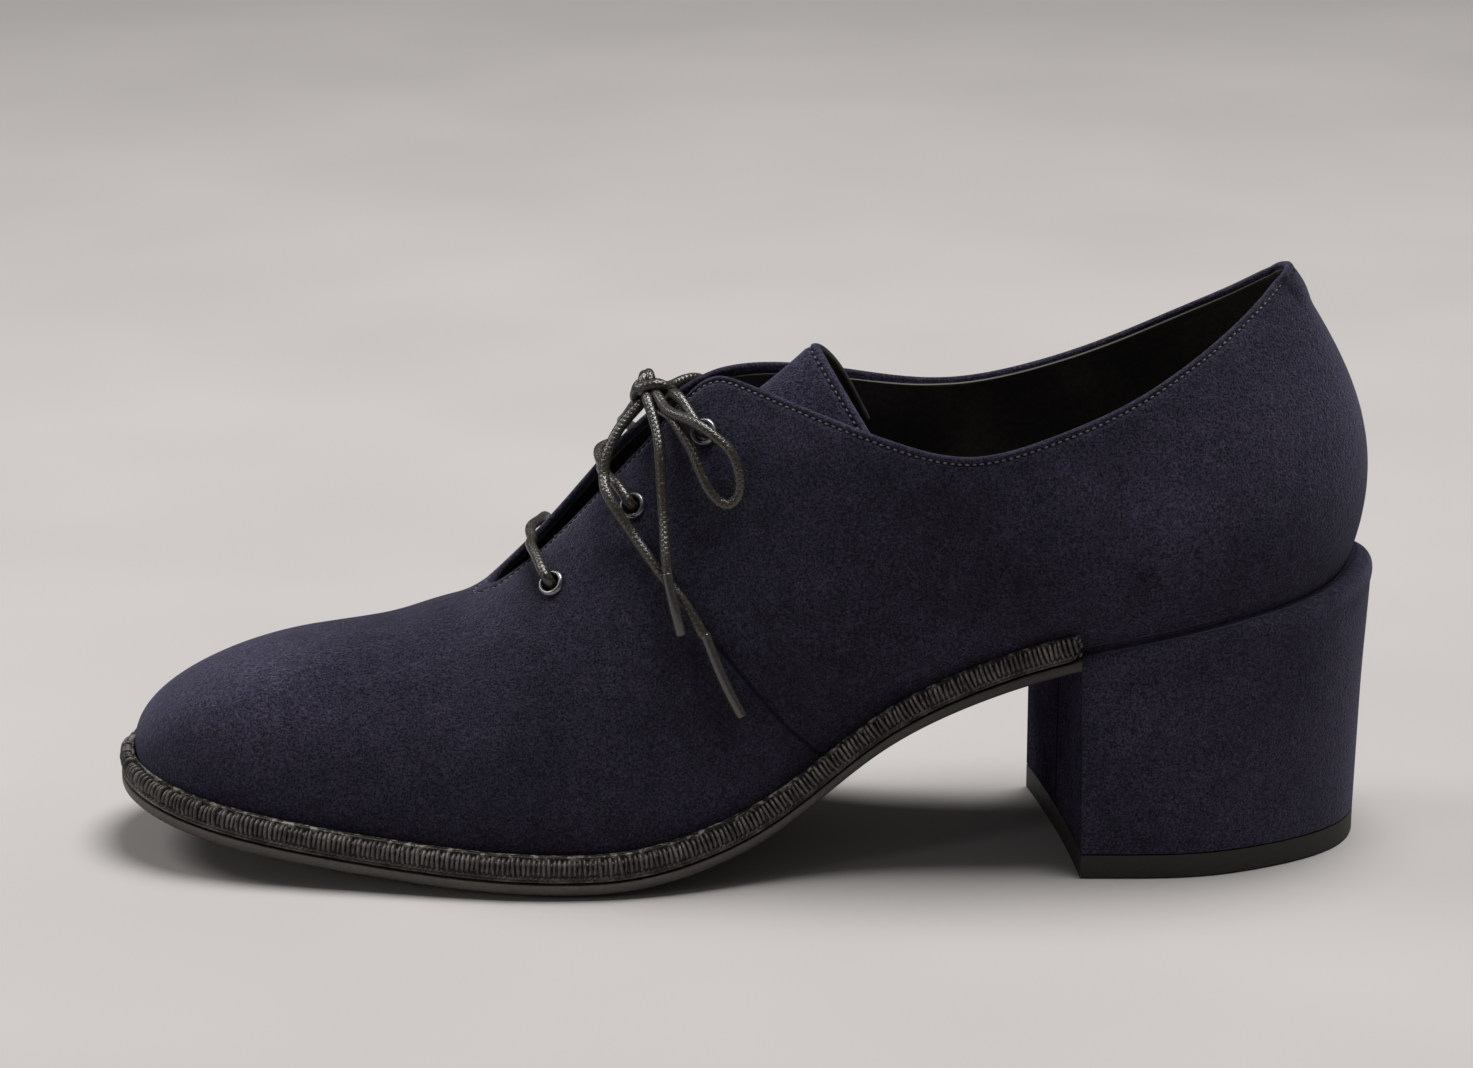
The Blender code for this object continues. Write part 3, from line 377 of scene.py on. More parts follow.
def wear_effect():
    """Soft uneven patches at random, for rubbing, dust, mottled suede and the lace's partly painted glints:
    0 where there is none.
    """
    sizes = {"Vector": "Vector", "Scale": 50.0, "Start": 0.4, "Full": 0.7, "Amount": 1.0}
    graph, given, result = new_tree("ShaderNodeTree", "wear", sizes, {"Mask": 0.0})
    noise = graph.noise(given["Vector"], given["Scale"], 4.0, 0.62)
    mask = graph.spread(noise, given["Start"], given["Full"], 0.0, given["Amount"])
    graph.join(mask, result["Mask"])
    return graph.tree


GRAIN = grain_effect()
WEAR = wear_effect()


class Finish(Graph):
    """A material in the making, whose textures stand at their place on the shoe."""

    def __init__(self, name):
        self.material = bpy.data.materials.new(name)
        self.material.use_nodes = True
        super().__init__(self.material.node_tree)
        self.shader = self.tree.nodes["Principled BSDF"].inputs
        self.place = self.add("ShaderNodeTexCoord")["Object"]

    def grain(self, scale, fineness, dark, light):
        sizes = {"Scale": scale, "Fineness": fineness, "Dark": dark, "Light": light}
        made = self.add("ShaderNodeGroup", {"node_tree": GRAIN}, Vector=self.place, **sizes)
        return made["Tone"], made["Height"]

    def wear(self, scale, start, full, amount=1.0, place=None):
        place = self.place if place is None else place
        sizes = {"Scale": scale, "Start": start, "Full": full, "Amount": amount}
        return self.add("ShaderNodeGroup", {"node_tree": WEAR}, Vector=place, **sizes)["Mask"]

    def kept(self, name):
        """The number that the mesh keeps at each point under this name."""
        return self.add("ShaderNodeAttribute", {"attribute_name": name})["Fac"]

    def line(self, name, width, end=None):
        """1 on the line where a kept number is 0, falling to 0 beside it and past the line's end."""
        off = self.math("ABSOLUTE", self.kept(name))
        if end:
            off = self.plus(off, self.kept(end))
        return self.spread(off, 0.0, width, 1.0, 0.0)

    def toned(self, colour, tone):
        """The colour made lighter or darker by a tone."""
        return self.mix(1.0, colour, self.vector(tone, tone, tone), "MULTIPLY")

    def done(self, colour, roughness, bump=None, **fixed):
        """Joins the shader's inputs. A bump is its height, strength and distance."""
        ends = {"Base Color": colour, "Roughness": roughness, **fixed}
        if bump:
            height, strength, distance = bump
            sizes = {"Strength": strength, "Distance": distance}
            ends["Normal"] = self.add("ShaderNodeBump", Height=height, **sizes)[0]
        for word, value in ends.items():
            self.join(value, self.shader[word.replace("_", " ")])
        return self.material


NAVY = (0.0160, 0.0145, 0.0248, 1)
NAVY_BLOOM = (0.0320, 0.0290, 0.0475, 1)
# The deep navy of the painted shade in the suede's seams, stitched rows and creases.
NAVY_GROOVE_SHADE = (0.0040, 0.0037, 0.0062, 1)
NAVY_SHEEN = (0.60, 0.59, 0.84, 1)
LINT = (0.22, 0.21, 0.22, 1)
SEAM_WIDTH = 0.75
ROW_WIDTH = 0.6


def make_suede(name, sheen, gloss):
    """Brushed suede: fibres and specks of two sizes over soft strokes, with painted light and shade in soft
    patches, and painted shade in the seams, the stitched rows and the creases.
    """
    look = Finish(name)
    strokes = look.plus(look.wear(34.0, 0.36, 0.66, 0.6), look.wear(210.0, 0.36, 0.66, 0.4))
    fibres, fibre_height = look.grain(2300.0, 0.7, 0.35, 1.75)
    specks, speck_height = look.grain(900.0, 0.7, 0.82, 1.22)
    colour = look.mix(strokes, NAVY, NAVY_BLOOM)
    colour = look.toned(colour, look.times(fibres, specks))
    # Painted light and painted shade: the tone is lifted or darkened by the share kept at each point.
    colour = look.toned(colour, look.plus(1.0, look.kept("nap")))
    colour = look.mix(look.wear(520.0, 0.745, 0.765, 0.6), colour, LINT)
    # Painted shade: darker in the seams, along the stitched rows and in the crease under the heel's lip,
    # where the bump also sinks.
    row = look.times(look.line("row", ROW_WIDTH), 0.85)
    groove_shade = look.math("MAXIMUM", look.line("seam", SEAM_WIDTH, "seam_end"), row, True)
    height = look.plus(fibre_height, look.times(speck_height, 0.8))
    height = look.minus(height, look.times(groove_shade, 1.2))
    return look.done(
        look.mix(groove_shade, colour, NAVY_GROOVE_SHADE), 0.95, (height, 0.9, 0.00045),
        Specular_IOR_Level=gloss, Sheen_Weight=sheen, Sheen_Roughness=0.37, Sheen_Tint=NAVY_SHEEN,
    )


suede = make_suede("suede", 0.32, 0.12)


# The eyelets on either side: where along the facing, and how far down from its edge.
Eyelet = namedtuple("Eyelet", "top_x inset")
EYELETS = [Eyelet(40.3, 12.5), Eyelet(25.0, 11.5), Eyelet(11.0, 10.5)]
EYELET_HOLE = 2.2

# The side seam, the same on both sides of the foot: its slant seen from the side.
SEAM_Z = (24.0, 26.4, 29.2, 33.2, 37.8, 45.2, 52.0, 56.0)
SEAM_X = (-13.4, -11.2, -8.1, -4.2, -0.2, 5.7, 11.5, 14.9)
SEAM_TOP = 53.0
SEAM_FOOT = 18.0
SEAM_SLANT = 0.76
SEAM_HALF = 0.7
SEAM_DEPTH = 0.4
SEAM_CLEAR = 9.0


# The soft troughs and ridges of the worn-in suede: middle, half length along, half width, depth.
Crease = namedtuple("Crease", "side x z along across depth tilt")
CREASES = [
    Crease(LATERAL, 33.0, 52.0, 14.0, 3.0, -0.35, 62),
    Crease(LATERAL, 44.0, 44.0, 12.0, 3.5, 0.30, 70),
    Crease(LATERAL, 20.0, 58.0, 15.0, 3.5, -0.30, 50),
    Crease(LATERAL, 60.0, 42.0, 13.0, 4.0, -0.25, 75),
    Crease(LATERAL, -20.0, 62.0, 18.0, 5.0, -0.30, 20),
    Crease(LATERAL, -45.0, 62.0, 16.0, 4.5, 0.25, 10),
    Crease(LATERAL, -70.0, 72.0, 16.0, 6.0, -0.20, 80),
    Crease(MEDIAL, 38.0, 50.0, 14.0, 3.5, -0.35, 65),
    Crease(MEDIAL, 10.0, 55.0, 16.0, 4.0, -0.30, 45),
    Crease(MEDIAL, -25.0, 62.0, 18.0, 5.0, -0.30, 15),
]


def creases_at(side, points):
    """How far the suede stands in or out at these points, from its soft folds."""
    total = np.zeros(points.shape[:-1])
    for fold in CREASES:
        if fold.side != side:
            continue
        turn = np.radians(fold.tilt)
        x = points[..., 0] - fold.x
        z = points[..., 2] - fold.z
        along = (x * np.cos(turn) + z * np.sin(turn)) / fold.along
        across = (z * np.cos(turn) - x * np.sin(turn)) / fold.across
        total += fold.depth * np.exp(-(along**2) - across**2)
    return total


# The stitched row: round the topline and down the facings near their edge, then in a wider loop
# round the throat's closed end. Each pair is the place along the edge and the distance down from it.
ROW_PLACES = [
    (-106.4, 1.45), (-60.0, 1.45), (-20.0, 1.45), (10.0, 1.45), (35.0, 1.45), (45.0, 1.6),
    (49.0, 1.9), (51.0, 2.2), (52.8, 2.6), (53.4, 3.2), (54.6, 2.6), (55.5, 1.3), (55.8, 0.0),
]
ROW_END = (56.0, -1.0)
ROW_STEP = 0.5
ROW_HALF = 0.55
ROW_DEPTH = 0.3
ROW_REACH = 6.0


def row_path(side):
    """The stitched row's points on one side and the wall's normals there."""
    places = np.array(ROW_PLACES)
    run = run_along(places)
    want = np.linspace(0, run[-1], int(run[-1] / ROW_STEP))
    return on_wall(side, *[np.interp(want, run, column) for column in places.T])


def distance_to(points, line, reach=ROW_REACH):
    """How far each point is from a line of points, up to a reach."""
    tree = KDTree(len(line))
    for k, place in enumerate(line):
        tree.insert(place, k)
    tree.balance()
    far = np.array([tree.find(place)[2] for place in points.reshape(-1, 3)])
    return np.minimum(far, reach).reshape(points.shape[:-1])


# Painted light and painted shade on the suede: soft patches where its tone is made paler or darker.
LightPatch = namedtuple("LightPatch", "x z wide high lift")
PAINTED_LIGHT_PATCHES = [
    LightPatch(98.0, 37.0, 18.0, 11.0, 0.50),
    LightPatch(-77.0, 77.0, 19.0, 15.0, 0.80),
    LightPatch(-104.0, 92.0, 12.0, 12.0, 0.25),
    LightPatch(9.0, 36.0, 17.0, 10.0, -0.22),
    LightPatch(-5.0, 90.0, 18.0, 5.0, 0.35),
    LightPatch(-40.0, 48.0, 16.0, 8.0, 0.20),
]


def nap_at(points):
    """How much painted light lifts, and painted shade darkens, the suede's tone there, as a share."""
    lift = np.zeros(points.shape[:-1])
    for patch in PAINTED_LIGHT_PATCHES:
        x = (points[..., 0] - patch.x) / patch.wide
        z = (points[..., 2] - patch.z) / patch.high
        lift += patch.lift * np.exp(-(x**2) - z**2)
    return lift


# The stay over the top of the back seam: half its width, its length down from the edge, its height.
BACK_STAY = (6.0, 10.0, 0.9)
BACK_Y = 1.2
BACK_X = -98

# The crease where the heel's lip closes on the suede, from the breast round the back: the suede's material
# paints shade along it.
LIP_FADE = 1.5
LIP_LINES = [wall_points(side, np.linspace(0.66, 1.0, 400), [0.012])[:, 0] for side in SIDES]
ROWS = [row_path(side) for side in SIDES]


def upper_grid(per_side, levels):
    """Points of the outer surface, closed round the shoe, with row and seam distances and relief."""
    throat = station_of_top(np.linspace(60.0, 46.0, 40))
    stations = np.unique(np.round(np.concatenate([np.linspace(0, 1, per_side), throat, STATION]), 7))
    around = [], [], [], [], [], [], []
    for side in SIDES:
        p = wall_points(side, stations, levels)
        seam = (p[..., 0] - np.interp(p[..., 2], SEAM_Z, SEAM_X)) * SEAM_SLANT
        beyond = np.maximum(p[..., 2] - SEAM_TOP, 0) + np.maximum(SEAM_FOOT - p[..., 2], 0)
        steps = np.linalg.norm(np.diff(p, axis=1), axis=2)
        edge = np.append(np.cumsum(steps[:, ::-1], axis=1)[:, ::-1], np.zeros((len(p), 1)), axis=1)
        row_down = np.interp(p[:, -1, 0], *np.transpose(ROW_PLACES + [ROW_END]))
        row = np.where(edge < row_down[:, None], -1.0, 1.0) * distance_to(p, ROWS[side][0])
        relief = creases_at(side, p) * np.clip(np.abs(row) / ROW_REACH, 0, 1)
        relief -= ROW_DEPTH * np.exp(-((row / ROW_HALF) ** 2))
        relief -= SEAM_DEPTH * np.exp(-(((np.abs(seam) + beyond) / SEAM_HALF) ** 2))
        stay = np.clip((BACK_STAY[0] - np.abs(p[..., 1] - BACK_Y)) / 2.0, 0, 1)
        stay = stay * np.clip((BACK_STAY[1] - edge) / 5.0, 0, 1) * (p[..., 0] < BACK_X)
        relief += BACK_STAY[2] * stay * stay * (3 - 2 * stay)
        # Painted shade: the row's kept distance also runs to the lip's crease, so the material darkens that
        # crease as well as the stitched row.
        lip = distance_to(p, LIP_LINES[side]) * LIP_FADE
        row = np.where(np.abs(row) < lip, row, lip)
        keep = slice(None) if side == LATERAL else slice(-2, 0, -1)
        for store, values in zip(around, (p, row, seam, beyond, relief, nap_at(p), edge)):
            store.append(values[keep])
    return [np.concatenate(store) for store in around]


TURN_IN = 2.3
TURNED_THICK = 1.45
BACK_STIFF = 0.3
RIM_TURNS = np.radians((30, 60, 90, 120, 150))


def trimmed(grid, lip, drops):
    """The same wall cut off below its top edge, by the lip and a drop that is given along x."""
    around, edge = grid[0], grid[-1]
    cut = (lip + np.interp(around[:, -1, 0], *zip(*drops))) * throat_open(around[:, -1, 0])
    lower = [np.empty_like(values) for values in grid]
    for i, below in enumerate(cut):
        run = edge[i, 0] - edge[i]
        wanted = run * (1 - below / run[-1])
        for made, values in zip(lower, grid):
            if values.ndim == 2:
                made[i] = np.interp(wanted, run, values[i])
                continue
            for axis in range(3):
                made[i, :, axis] = np.interp(wanted, run, values[i, :, axis])
    return lower


def wall_shell(name, grid, outer, inner, lip, drops, turned=0.0):
    """The upper's wall between two depths, closed round its foot and rolled over at its top.

    A turned edge is this deep on the inside for the length of the turn-in."""
    around, *fields = trimmed(grid, lip, drops)
    count, level_count = around.shape[:2]
    shape = bmesh.new()
    words = ("row", "seam", "seam_end", "relief", "nap", "top", "edge")
    layers = [shape.verts.layers.float.new(word) for word in words]
    row, _, seam_end, relief, nap, top, cut = layers
    verts = []
    for i in range(count):
        rib = [shape.verts.new(place) for place in in_metres(around[i])]
        for j, v in enumerate(rib):
            for layer, values in zip(layers, fields):
                v[layer] = values[i, j]
        verts.append(rib)
    for i in range(count):
        a, b = verts[i], verts[(i + 1) % count]
        for j in range(level_count - 1):
            shape.faces.new((a[j], b[j], b[j + 1], a[j + 1]))
    bmesh.ops.remove_doubles(shape, verts=shape.verts, dist=WELD)
    shape.normal_update()
    widest = max(shape.faces, key=lambda face: face.calc_center_median().y)
    if widest.normal.y < 0:
        bmesh.ops.reverse_faces(shape, faces=shape.faces)
        shape.normal_update()
    skin = list(shape.verts)
    normals = {v: v.normal.copy() for v in skin}
    rim_edges = [e for e in shape.edges if e.is_boundary]
    upward = {}
    for v in dict.fromkeys(v for e in rim_edges for v in e.verts):
        below = [e.other_vert(v).co for e in v.link_edges if not e.is_boundary]
        away = v.co - sum(below, Vector()) / len(below) if below else Vector()
        upward[v] = (away - normals[v] * away.dot(normals[v])).normalized()
    thick = {}
    for v in skin:
        stiff = BACK_STIFF * np.exp(-(((v.co.x + 0.107) / 0.012) ** 2)) * np.exp(-v[top] / 9)
        near = min(max((TURN_IN - v[top]) / 0.35, 0.0), 1.0)
        thick[v] = (inner - outer + near * max(turned - inner, 0.0) + stiff * (turned > 0)) * 0.001
        v.co += normals[v] * (v[relief] - outer) * 0.001

    def hidden(v, place, edge):
        """A point behind the skin's, clear of the row and the seam."""
        made = shape.verts.new(place)
        made[row], made[nap] = np.copysign(ROW_REACH, v[row]), v[nap]
        made[seam_end], made[cut] = SEAM_CLEAR, edge
        return made

    back = {v: hidden(v, v.co - normals[v] * thick[v], 0.0) for v in skin}
    for face in list(shape.faces):
        shape.faces.new([back[v] for v in reversed(face.verts)])
    rings = {}
    for v, way in upward.items():
        middle = v.co - normals[v] * thick[v] / 2
        rings[v] = [v]
        for turn in RIM_TURNS:
            out = normals[v] * thick[v] / 2 * np.cos(turn) + way * lip * 0.001 * np.sin(turn)
            rings[v].append(hidden(v, middle + out, 1.0))
        rings[v].append(back[v])
    for edge in rim_edges:
        a, b = [rings[v] for v in edge.verts]
        for k in range(len(RIM_TURNS) + 1):
            shape.faces.new((a[k], b[k], b[k + 1], a[k + 1]))
    bmesh.ops.recalc_face_normals(shape, faces=shape.faces)
    return smooth_mesh(bpy.data.meshes.new(name), shape)


def eyelet_cutter():
    """Six short round cutters through the facings, joined."""
    shape = bmesh.new()
    hole = EYELET_HOLE * 0.001
    for side in SIDES:
        for row in EYELETS:
            centre, normal = on_wall(side, row.top_x, row.inset)
            turn = Vector(normal[0]).to_track_quat("Z", "Y").to_matrix().to_4x4()
            turn.translation = in_metres(centre[0])
            sizes = {"segments": 32, "radius1": hole, "radius2": hole, "depth": 0.008}
            bmesh.ops.create_cone(shape, cap_ends=True, matrix=turn, **sizes)
    mesh = bpy.data.meshes.new("cutter")
    shape.to_mesh(mesh)
    shape.free()
    return linked("cutter", mesh)


def baked(made, name):
    """The plain mesh that an object's modifier makes of it; the object goes."""
    graph = bpy.context.evaluated_depsgraph_get()
    mesh = bpy.data.meshes.new_from_object(made.evaluated_get(graph))
    mesh.name = name
    made.modifiers.clear()
    bpy.data.objects.remove(made, do_unlink=True)
    return mesh


def punched(mesh, finish):
    """The mesh with the eyelets' holes cut through it."""
    name = mesh.name
    rough = linked(name + "_rough", mesh)
    mesh.materials.append(finish)
    cut = rough.modifiers.new("holes", "BOOLEAN")
    cut.object = cutter
    cut.operation = "DIFFERENCE"
    cut.solver = "MANIFOLD"
    return baked(rough, name)


def levels_to_top(near_top, below, above):
    """Levels from the foot to the top edge, closer together near the top."""
    return np.concatenate([np.linspace(0, near_top, below)[:-1], np.linspace(near_top, 1, above)])


cutter = eyelet_cutter()
wall_grid = upper_grid(225, levels_to_top(0.94, 56, 16))
shell = wall_shell("upper_suede", wall_grid, 0.0, SUEDE_THICK, 0.75, [(0.0, 0.0)], TURNED_THICK)
piece("upper_suede", punched(shell, suede), suede, "suede", "upper")


# ---- upper: the lining ----
# Thin black leather, glued and stitched inside the suede. Its edge is trimmed a little below the
# turned topline, so that its raw cut edge shows as a fine lighter line.
LINING_OUTER = 1.05
LINING_INNER = 1.95
LINING_LIP = 0.15
LINING_DROP = [(-100.0, 1.1), (-75.0, 1.0), (-40.0, 1.0), (-5.0, 2.1), (30.0, 2.2)]
CUT_EDGE = (0.085, 0.080, 0.068, 1)


def make_lining():
    look = Finish("lining_leather")
    tone, grain = look.grain(900.0, 0.6, 0.8, 1.2)
    worn = look.wear(60.0, 0.35, 0.7)
    colour = look.mix(worn, (0.0250, 0.0230, 0.0210, 1), (0.0560, 0.0520, 0.0470, 1))
    colour = look.mix(look.kept("edge"), look.toned(colour, tone), CUT_EDGE)
    roughness = look.spread(worn, 0.0, 1.0, 0.5, 0.68)
    return look.done(colour, roughness, (grain, 0.35, 0.0001), Specular_IOR_Level=0.35)


lining_leather = make_lining()
grid = upper_grid(110, levels_to_top(0.9, 20, 8))
shell = wall_shell("upper_lining", grid, LINING_OUTER, LINING_INNER, LINING_LIP, LINING_DROP)
piece("upper_lining", punched(shell, lining_leather), lining_leather, "lining_leather", "upper")
bpy.data.objects.remove(cutter, do_unlink=True)


# ---- upper: the stitches ----
# One row of navy thread through suede and lining, seven stitches to the centimetre, laid by machine
# along the topline, down both facings and round the throat's end.
STITCH = {"Pitch": 0.00143, "Length": 0.00092, "Thickness": 0.00044, "Height": 0.00038}


def path_object(name, points, normals, widths=1.0):
    """A line of points that carries the surface's normal, for a tree to lay pieces along."""
    mesh = bpy.data.meshes.new(name)
    mesh.from_pydata(in_metres(points).tolist(), [(k, k + 1) for k in range(len(points) - 1)], [])
    lay = mesh.attributes.new("lay", "FLOAT_VECTOR", "POINT")
    lay.data.foreach_set("vector", np.asarray(normals, float).ravel())
    mark(mesh, "width", widths)
    return linked(name, mesh)


def laid_tree(name, sizes, axes, parts):
    """A tree that lays pods along a path; parts gives the pod, its scale and how it is turned."""
    inputs = {"Geometry": "Geometry", **sizes, "Finish": "Material"}
    graph, given, result = new_tree("GeometryNodeTree", name, inputs, {"Geometry": "Geometry"})
    curve = graph.add("GeometryNodeMeshToCurve", Mesh=given["Geometry"])[0]
    settings = {"mode": "LENGTH"}
    spaced = graph.add("GeometryNodeResampleCurve", settings, Curve=curve, Length=given["Pitch"])[0]
    pod, scale, lean = parts(graph, given)
    lay = graph.add("GeometryNodeInputNamedAttribute", {"data_type": "FLOAT_VECTOR"}, Name="lay")[0]
    along = graph.add("GeometryNodeInputTangent")[0]
    turn = graph.add("FunctionNodeAxesToRotation", axes, _0=lay, _1=along)[0]
    turn = graph.add("FunctionNodeRotateRotation", {"rotation_space": "LOCAL"}, _0=turn, _1=lean)[0]
    placing = {"Points": spaced, "Instance": pod, "Rotation": turn, "Scale": scale}
    placed = graph.add("GeometryNodeInstanceOnPoints", **placing)[0]
    real = graph.add("GeometryNodeRealizeInstances", _0=placed)[0]
    shade = graph.add("GeometryNodeSetShadeSmooth", Geometry=real)[0]
    ends = {"Geometry": shade, "Material": given["Finish"]}
    graph.join(graph.add("GeometryNodeSetMaterial", **ends)[0], result[0])
    return graph.tree


def grown(name, path, tree, finish, sizes):
    """Runs a tree on a path and returns the plain mesh that it makes."""
    grow = path.modifiers.new("grow", "NODES")
    grow.node_group = tree
    for item in tree.interface.items_tree:
        if item.in_out == "INPUT" and item.name in sizes:
            grow[item.identifier] = float(sizes[item.name])
        if item.in_out == "INPUT" and item.name == "Finish":
            grow[item.identifier] = finish
    return baked(path, name)


def stitch_parts(graph, given):
    """A small pod, which may lie at a slant."""
    pod = graph.add("GeometryNodeMeshUVSphere", Segments=6, Rings=4, Radius=0.5)["Mesh"]
    scale = graph.vector(given["Length"], given["Thickness"], given["Height"])
    return pod, scale, graph.vector(z=given["Slant"])


def make_thread():
    look = Finish("navy_thread")
    tone, twist = look.grain(2200.0, 0.6, 0.55, 1.5)
    colour = look.toned((0.090, 0.086, 0.108, 1), tone)
    return look.done(colour, 0.6, (twist, 0.5, 0.00008), Sheen_Weight=0.3)


navy_thread = make_thread()
pod_axes = {"primary_axis": "Z", "secondary_axis": "X"}
stitches = laid_tree("stitches", {**STITCH, "Slant": 0.0}, pod_axes, stitch_parts)
for side, word in SIDES.items():
    points, normals = ROWS[side]
    path = path_object(f"row_{word}", points - normals * (ROW_DEPTH * 0.75), normals)
    mesh = grown(f"stitches_{word}", path, stitches, navy_thread, STITCH)
    piece(f"stitches_{word}", mesh, navy_thread, "suede")


# ---- insole ----
# The footbed: a firm board under thin black leather, which lies on the sole and the heel seat
# inside the shoe, a hair clear of the upper's wall. Only its leather face is ever seen.
GAP = 0.3
INSOLE_THICK = 2.2
INSOLE_FACE = 1.2
INSOLE_FOOT = 0.1


def sole_points(side, stations, beyond=0.0, above=0.0):
    """Points beside the feather line, this far out from it and above it."""
    stations = np.atleast_1d(np.asarray(stations, float))
    out = outward(side, stations) * beyond
    rise = np.full(len(stations), above)
    return last_rows(side, stations)[:, :3] + np.column_stack([out, rise])


def grid_between(lateral, medial, columns):
    """Rows of points from each lateral point straight across to its medial one."""
    u = np.linspace(0, 1, columns)[None, :, None]
    return lateral[:, None] * (1 - u) + medial[:, None] * u


def sheet_faces(rows, columns, first=0):
    faces = []
    for i in range(rows - 1):
        for j in range(columns - 1):
            a = first + i * columns + j
            faces.append((a, a + 1, a + columns + 1, a + columns))
    return faces


def perimeter(rows, columns):
    """Indices of a sheet's edge, once round, in order."""
    side_a = [i * columns for i in range(rows)]
    far_end = [(rows - 1) * columns + j for j in range(1, columns)]
    side_b = [i * columns + columns - 1 for i in range(rows - 2, -1, -1)]
    near_end = list(range(columns - 2, 0, -1))
    return side_a + far_end + side_b + near_end


def block_mesh(name, top, bottom, rings, sharp=40):
    """A closed mesh between two sheets of points, whose edges are joined through rings of points."""
    rows, columns = top.shape[:2]
    edge = perimeter(rows, columns)
    points = [top.reshape(-1, 3), bottom.reshape(-1, 3)]
    faces = sheet_faces(rows, columns)
    faces += [face[::-1] for face in sheet_faces(rows, columns, rows * columns)]
    start = 2 * rows * columns
    starts = range(start, start + len(rings) * len(edge), len(edge))
    points += rings
    loops = [edge] + [range(k, k + len(edge)) for k in starts] + [[rows * columns + k for k in edge]]
    for above, below in zip(loops, loops[1:]):
        for k in range(len(edge)):
            after = (k + 1) % len(edge)
            faces.append((above[k], below[k], below[after], above[after]))
    return mesh_of(name, np.vstack(points), faces, sharp)


def sheet(margin, above, stations, columns=25):
    """A sheet across the shoe, this far in from the upper's wall and above the feather line."""
    lines = [sole_points(side, stations, -UPPER_WALL - margin, above) for side in SIDES]
    return grid_between(*lines, columns)


stations = np.linspace(0, 1, 90) ** 0.8
face = sheet(INSOLE_FACE, GAP + INSOLE_THICK, stations)
mesh = block_mesh("footbed", face, sheet(INSOLE_FOOT, GAP, stations), [])
piece("footbed", mesh, lining_leather, "lining_leather", "insole")


# ---- outsole ----
# One thin sole of brown-black leather, cut with the toe's spring and cemented under the welt. Its
# edge is trimmed square, inked and burnished, with a fine bevel below.
SEAT_DROP = 0.5
SOLE_THICK = 2.3
SOLE_CROWN = 1.3
SOLE_EDGE = 4.6
SOLE_FULL_WIDTH = 70.0
SOLE_COLUMNS = 41
HEEL_AXIS = (-89.6, 4.0)
HEEL_TURN = 4.9
BREAST_AHEAD = 28.0
# The edge's section, from the top down: how far in from its widest, and its height above the feather.
SOLE_FOOT = -SEAT_DROP - SOLE_THICK
SOLE_SECTION = [
    (0.1, -SEAT_DROP - 0.05), (0.0, -SEAT_DROP - 0.25), (0.0, SOLE_FOOT + 0.9), (0.12, SOLE_FOOT + 0.5),
    (0.45, SOLE_FOOT + 0.12),
]


def breast_line(ahead):
    """A point and the direction of the line across the heel, this far ahead of its middle."""
    turn = np.radians(HEEL_TURN)
    along = np.array([np.cos(turn), np.sin(turn)])
    return np.array(HEEL_AXIS) + ahead * along, along


def station_at_breast(side, ahead, beyond):
    """The station where the line beside the feather crosses the heel's breast."""
    point, along = breast_line(ahead)
    stations = np.linspace(0.4, 0.95, 400)
    past = (sole_points(side, stations, beyond)[:, :2] - point) @ along
    return float(np.interp(0, -past, stations))


def sole_rows(beyond, ahead, count):
    """Paired stations whose cross lines turn from square at the toe to the breast's slant."""
    ends = [station_at_breast(side, ahead, beyond) for side in SIDES]
    share = 1 - np.cos(np.linspace(0, 1, count) * np.pi / 2)
    share = 0.35 * share + 0.65 * np.linspace(0, 1, count) ** 1.25
    return share * ends[0], share * ends[1]


def sole_sheet(rows, inward, above):
    """A sheet across the sole, this far in from its edge and above the feather line."""
    lines = [sole_points(side, rows[side], SOLE_EDGE - inward, above) for side in SIDES]
    return grid_between(*lines, SOLE_COLUMNS)


def sole_mesh():
    rows = sole_rows(SOLE_EDGE, BREAST_AHEAD + SEAT_DROP, 150)
    top = sole_sheet(rows, 0.35, -SEAT_DROP)
    under = sole_sheet(rows, 0.9, SOLE_FOOT)
    across = np.linspace(-1, 1, SOLE_COLUMNS)
    wide = np.abs(under[:, 0, 1] - under[:, -1, 1]) / SOLE_FULL_WIDTH
    crown = SOLE_CROWN * np.minimum(wide, 1)[:, None] ** 3 * (1 - np.abs(across) ** 3)[None]
    under[:, :, 2] = np.maximum(under[:, :, 2] - crown, 0.0)
    edge = perimeter(*top.shape[:2])
    rings = [sole_sheet(rows, *place).reshape(-1, 3)[edge] for place in SOLE_SECTION]
    mesh = block_mesh("sole", top, under, rings)
    # Painted highlight: the mark kept here lightens a narrow band along the top edge of the sole's side.
    worn = distance_to(places_of(mesh), rings[1], 4.0)
    mark(mesh, "worn", np.clip(1 - worn / 1.3, 0, 1))
    return mesh


def make_sole_leather():
    look = Finish("sole_leather")
    flat = look.add("ShaderNodeMapping", Vector=look.place, Scale=(1.0, 1.0, 6.0))[0]
    burnish = look.wear(120.0, 0.3, 0.7, place=flat)
    tone, fine = look.grain(1200.0, 0.6, 0.85, 1.15)
    ahead = look.add("ShaderNodeSeparateXYZ", Vector=look.place)[0]
    rubbed = look.times(burnish, look.spread(ahead, -0.05, 0.03, 0.1, 1.0))
    colour = look.mix(rubbed, (0.0110, 0.0088, 0.0078, 1), (0.0660, 0.0530, 0.0460, 1))
    # Painted highlight along the sole's top edge, stronger towards the toe.
    worn = look.times(look.kept("worn"), look.spread(ahead, -0.05, 0.03, 0.15, 0.7))
    colour = look.mix(worn, colour, (0.1350, 0.1200, 0.1100, 1))
    height = look.plus(look.times(burnish, 0.3), look.times(fine, 0.5))
    roughness = look.spread(burnish, 0.0, 1.0, 0.38, 0.6)
    return look.done(look.toned(colour, tone), roughness, (height, 0.3, 0.0002))


piece("sole", sole_mesh(), make_sole_leather(), "sole_leather", "outsole")


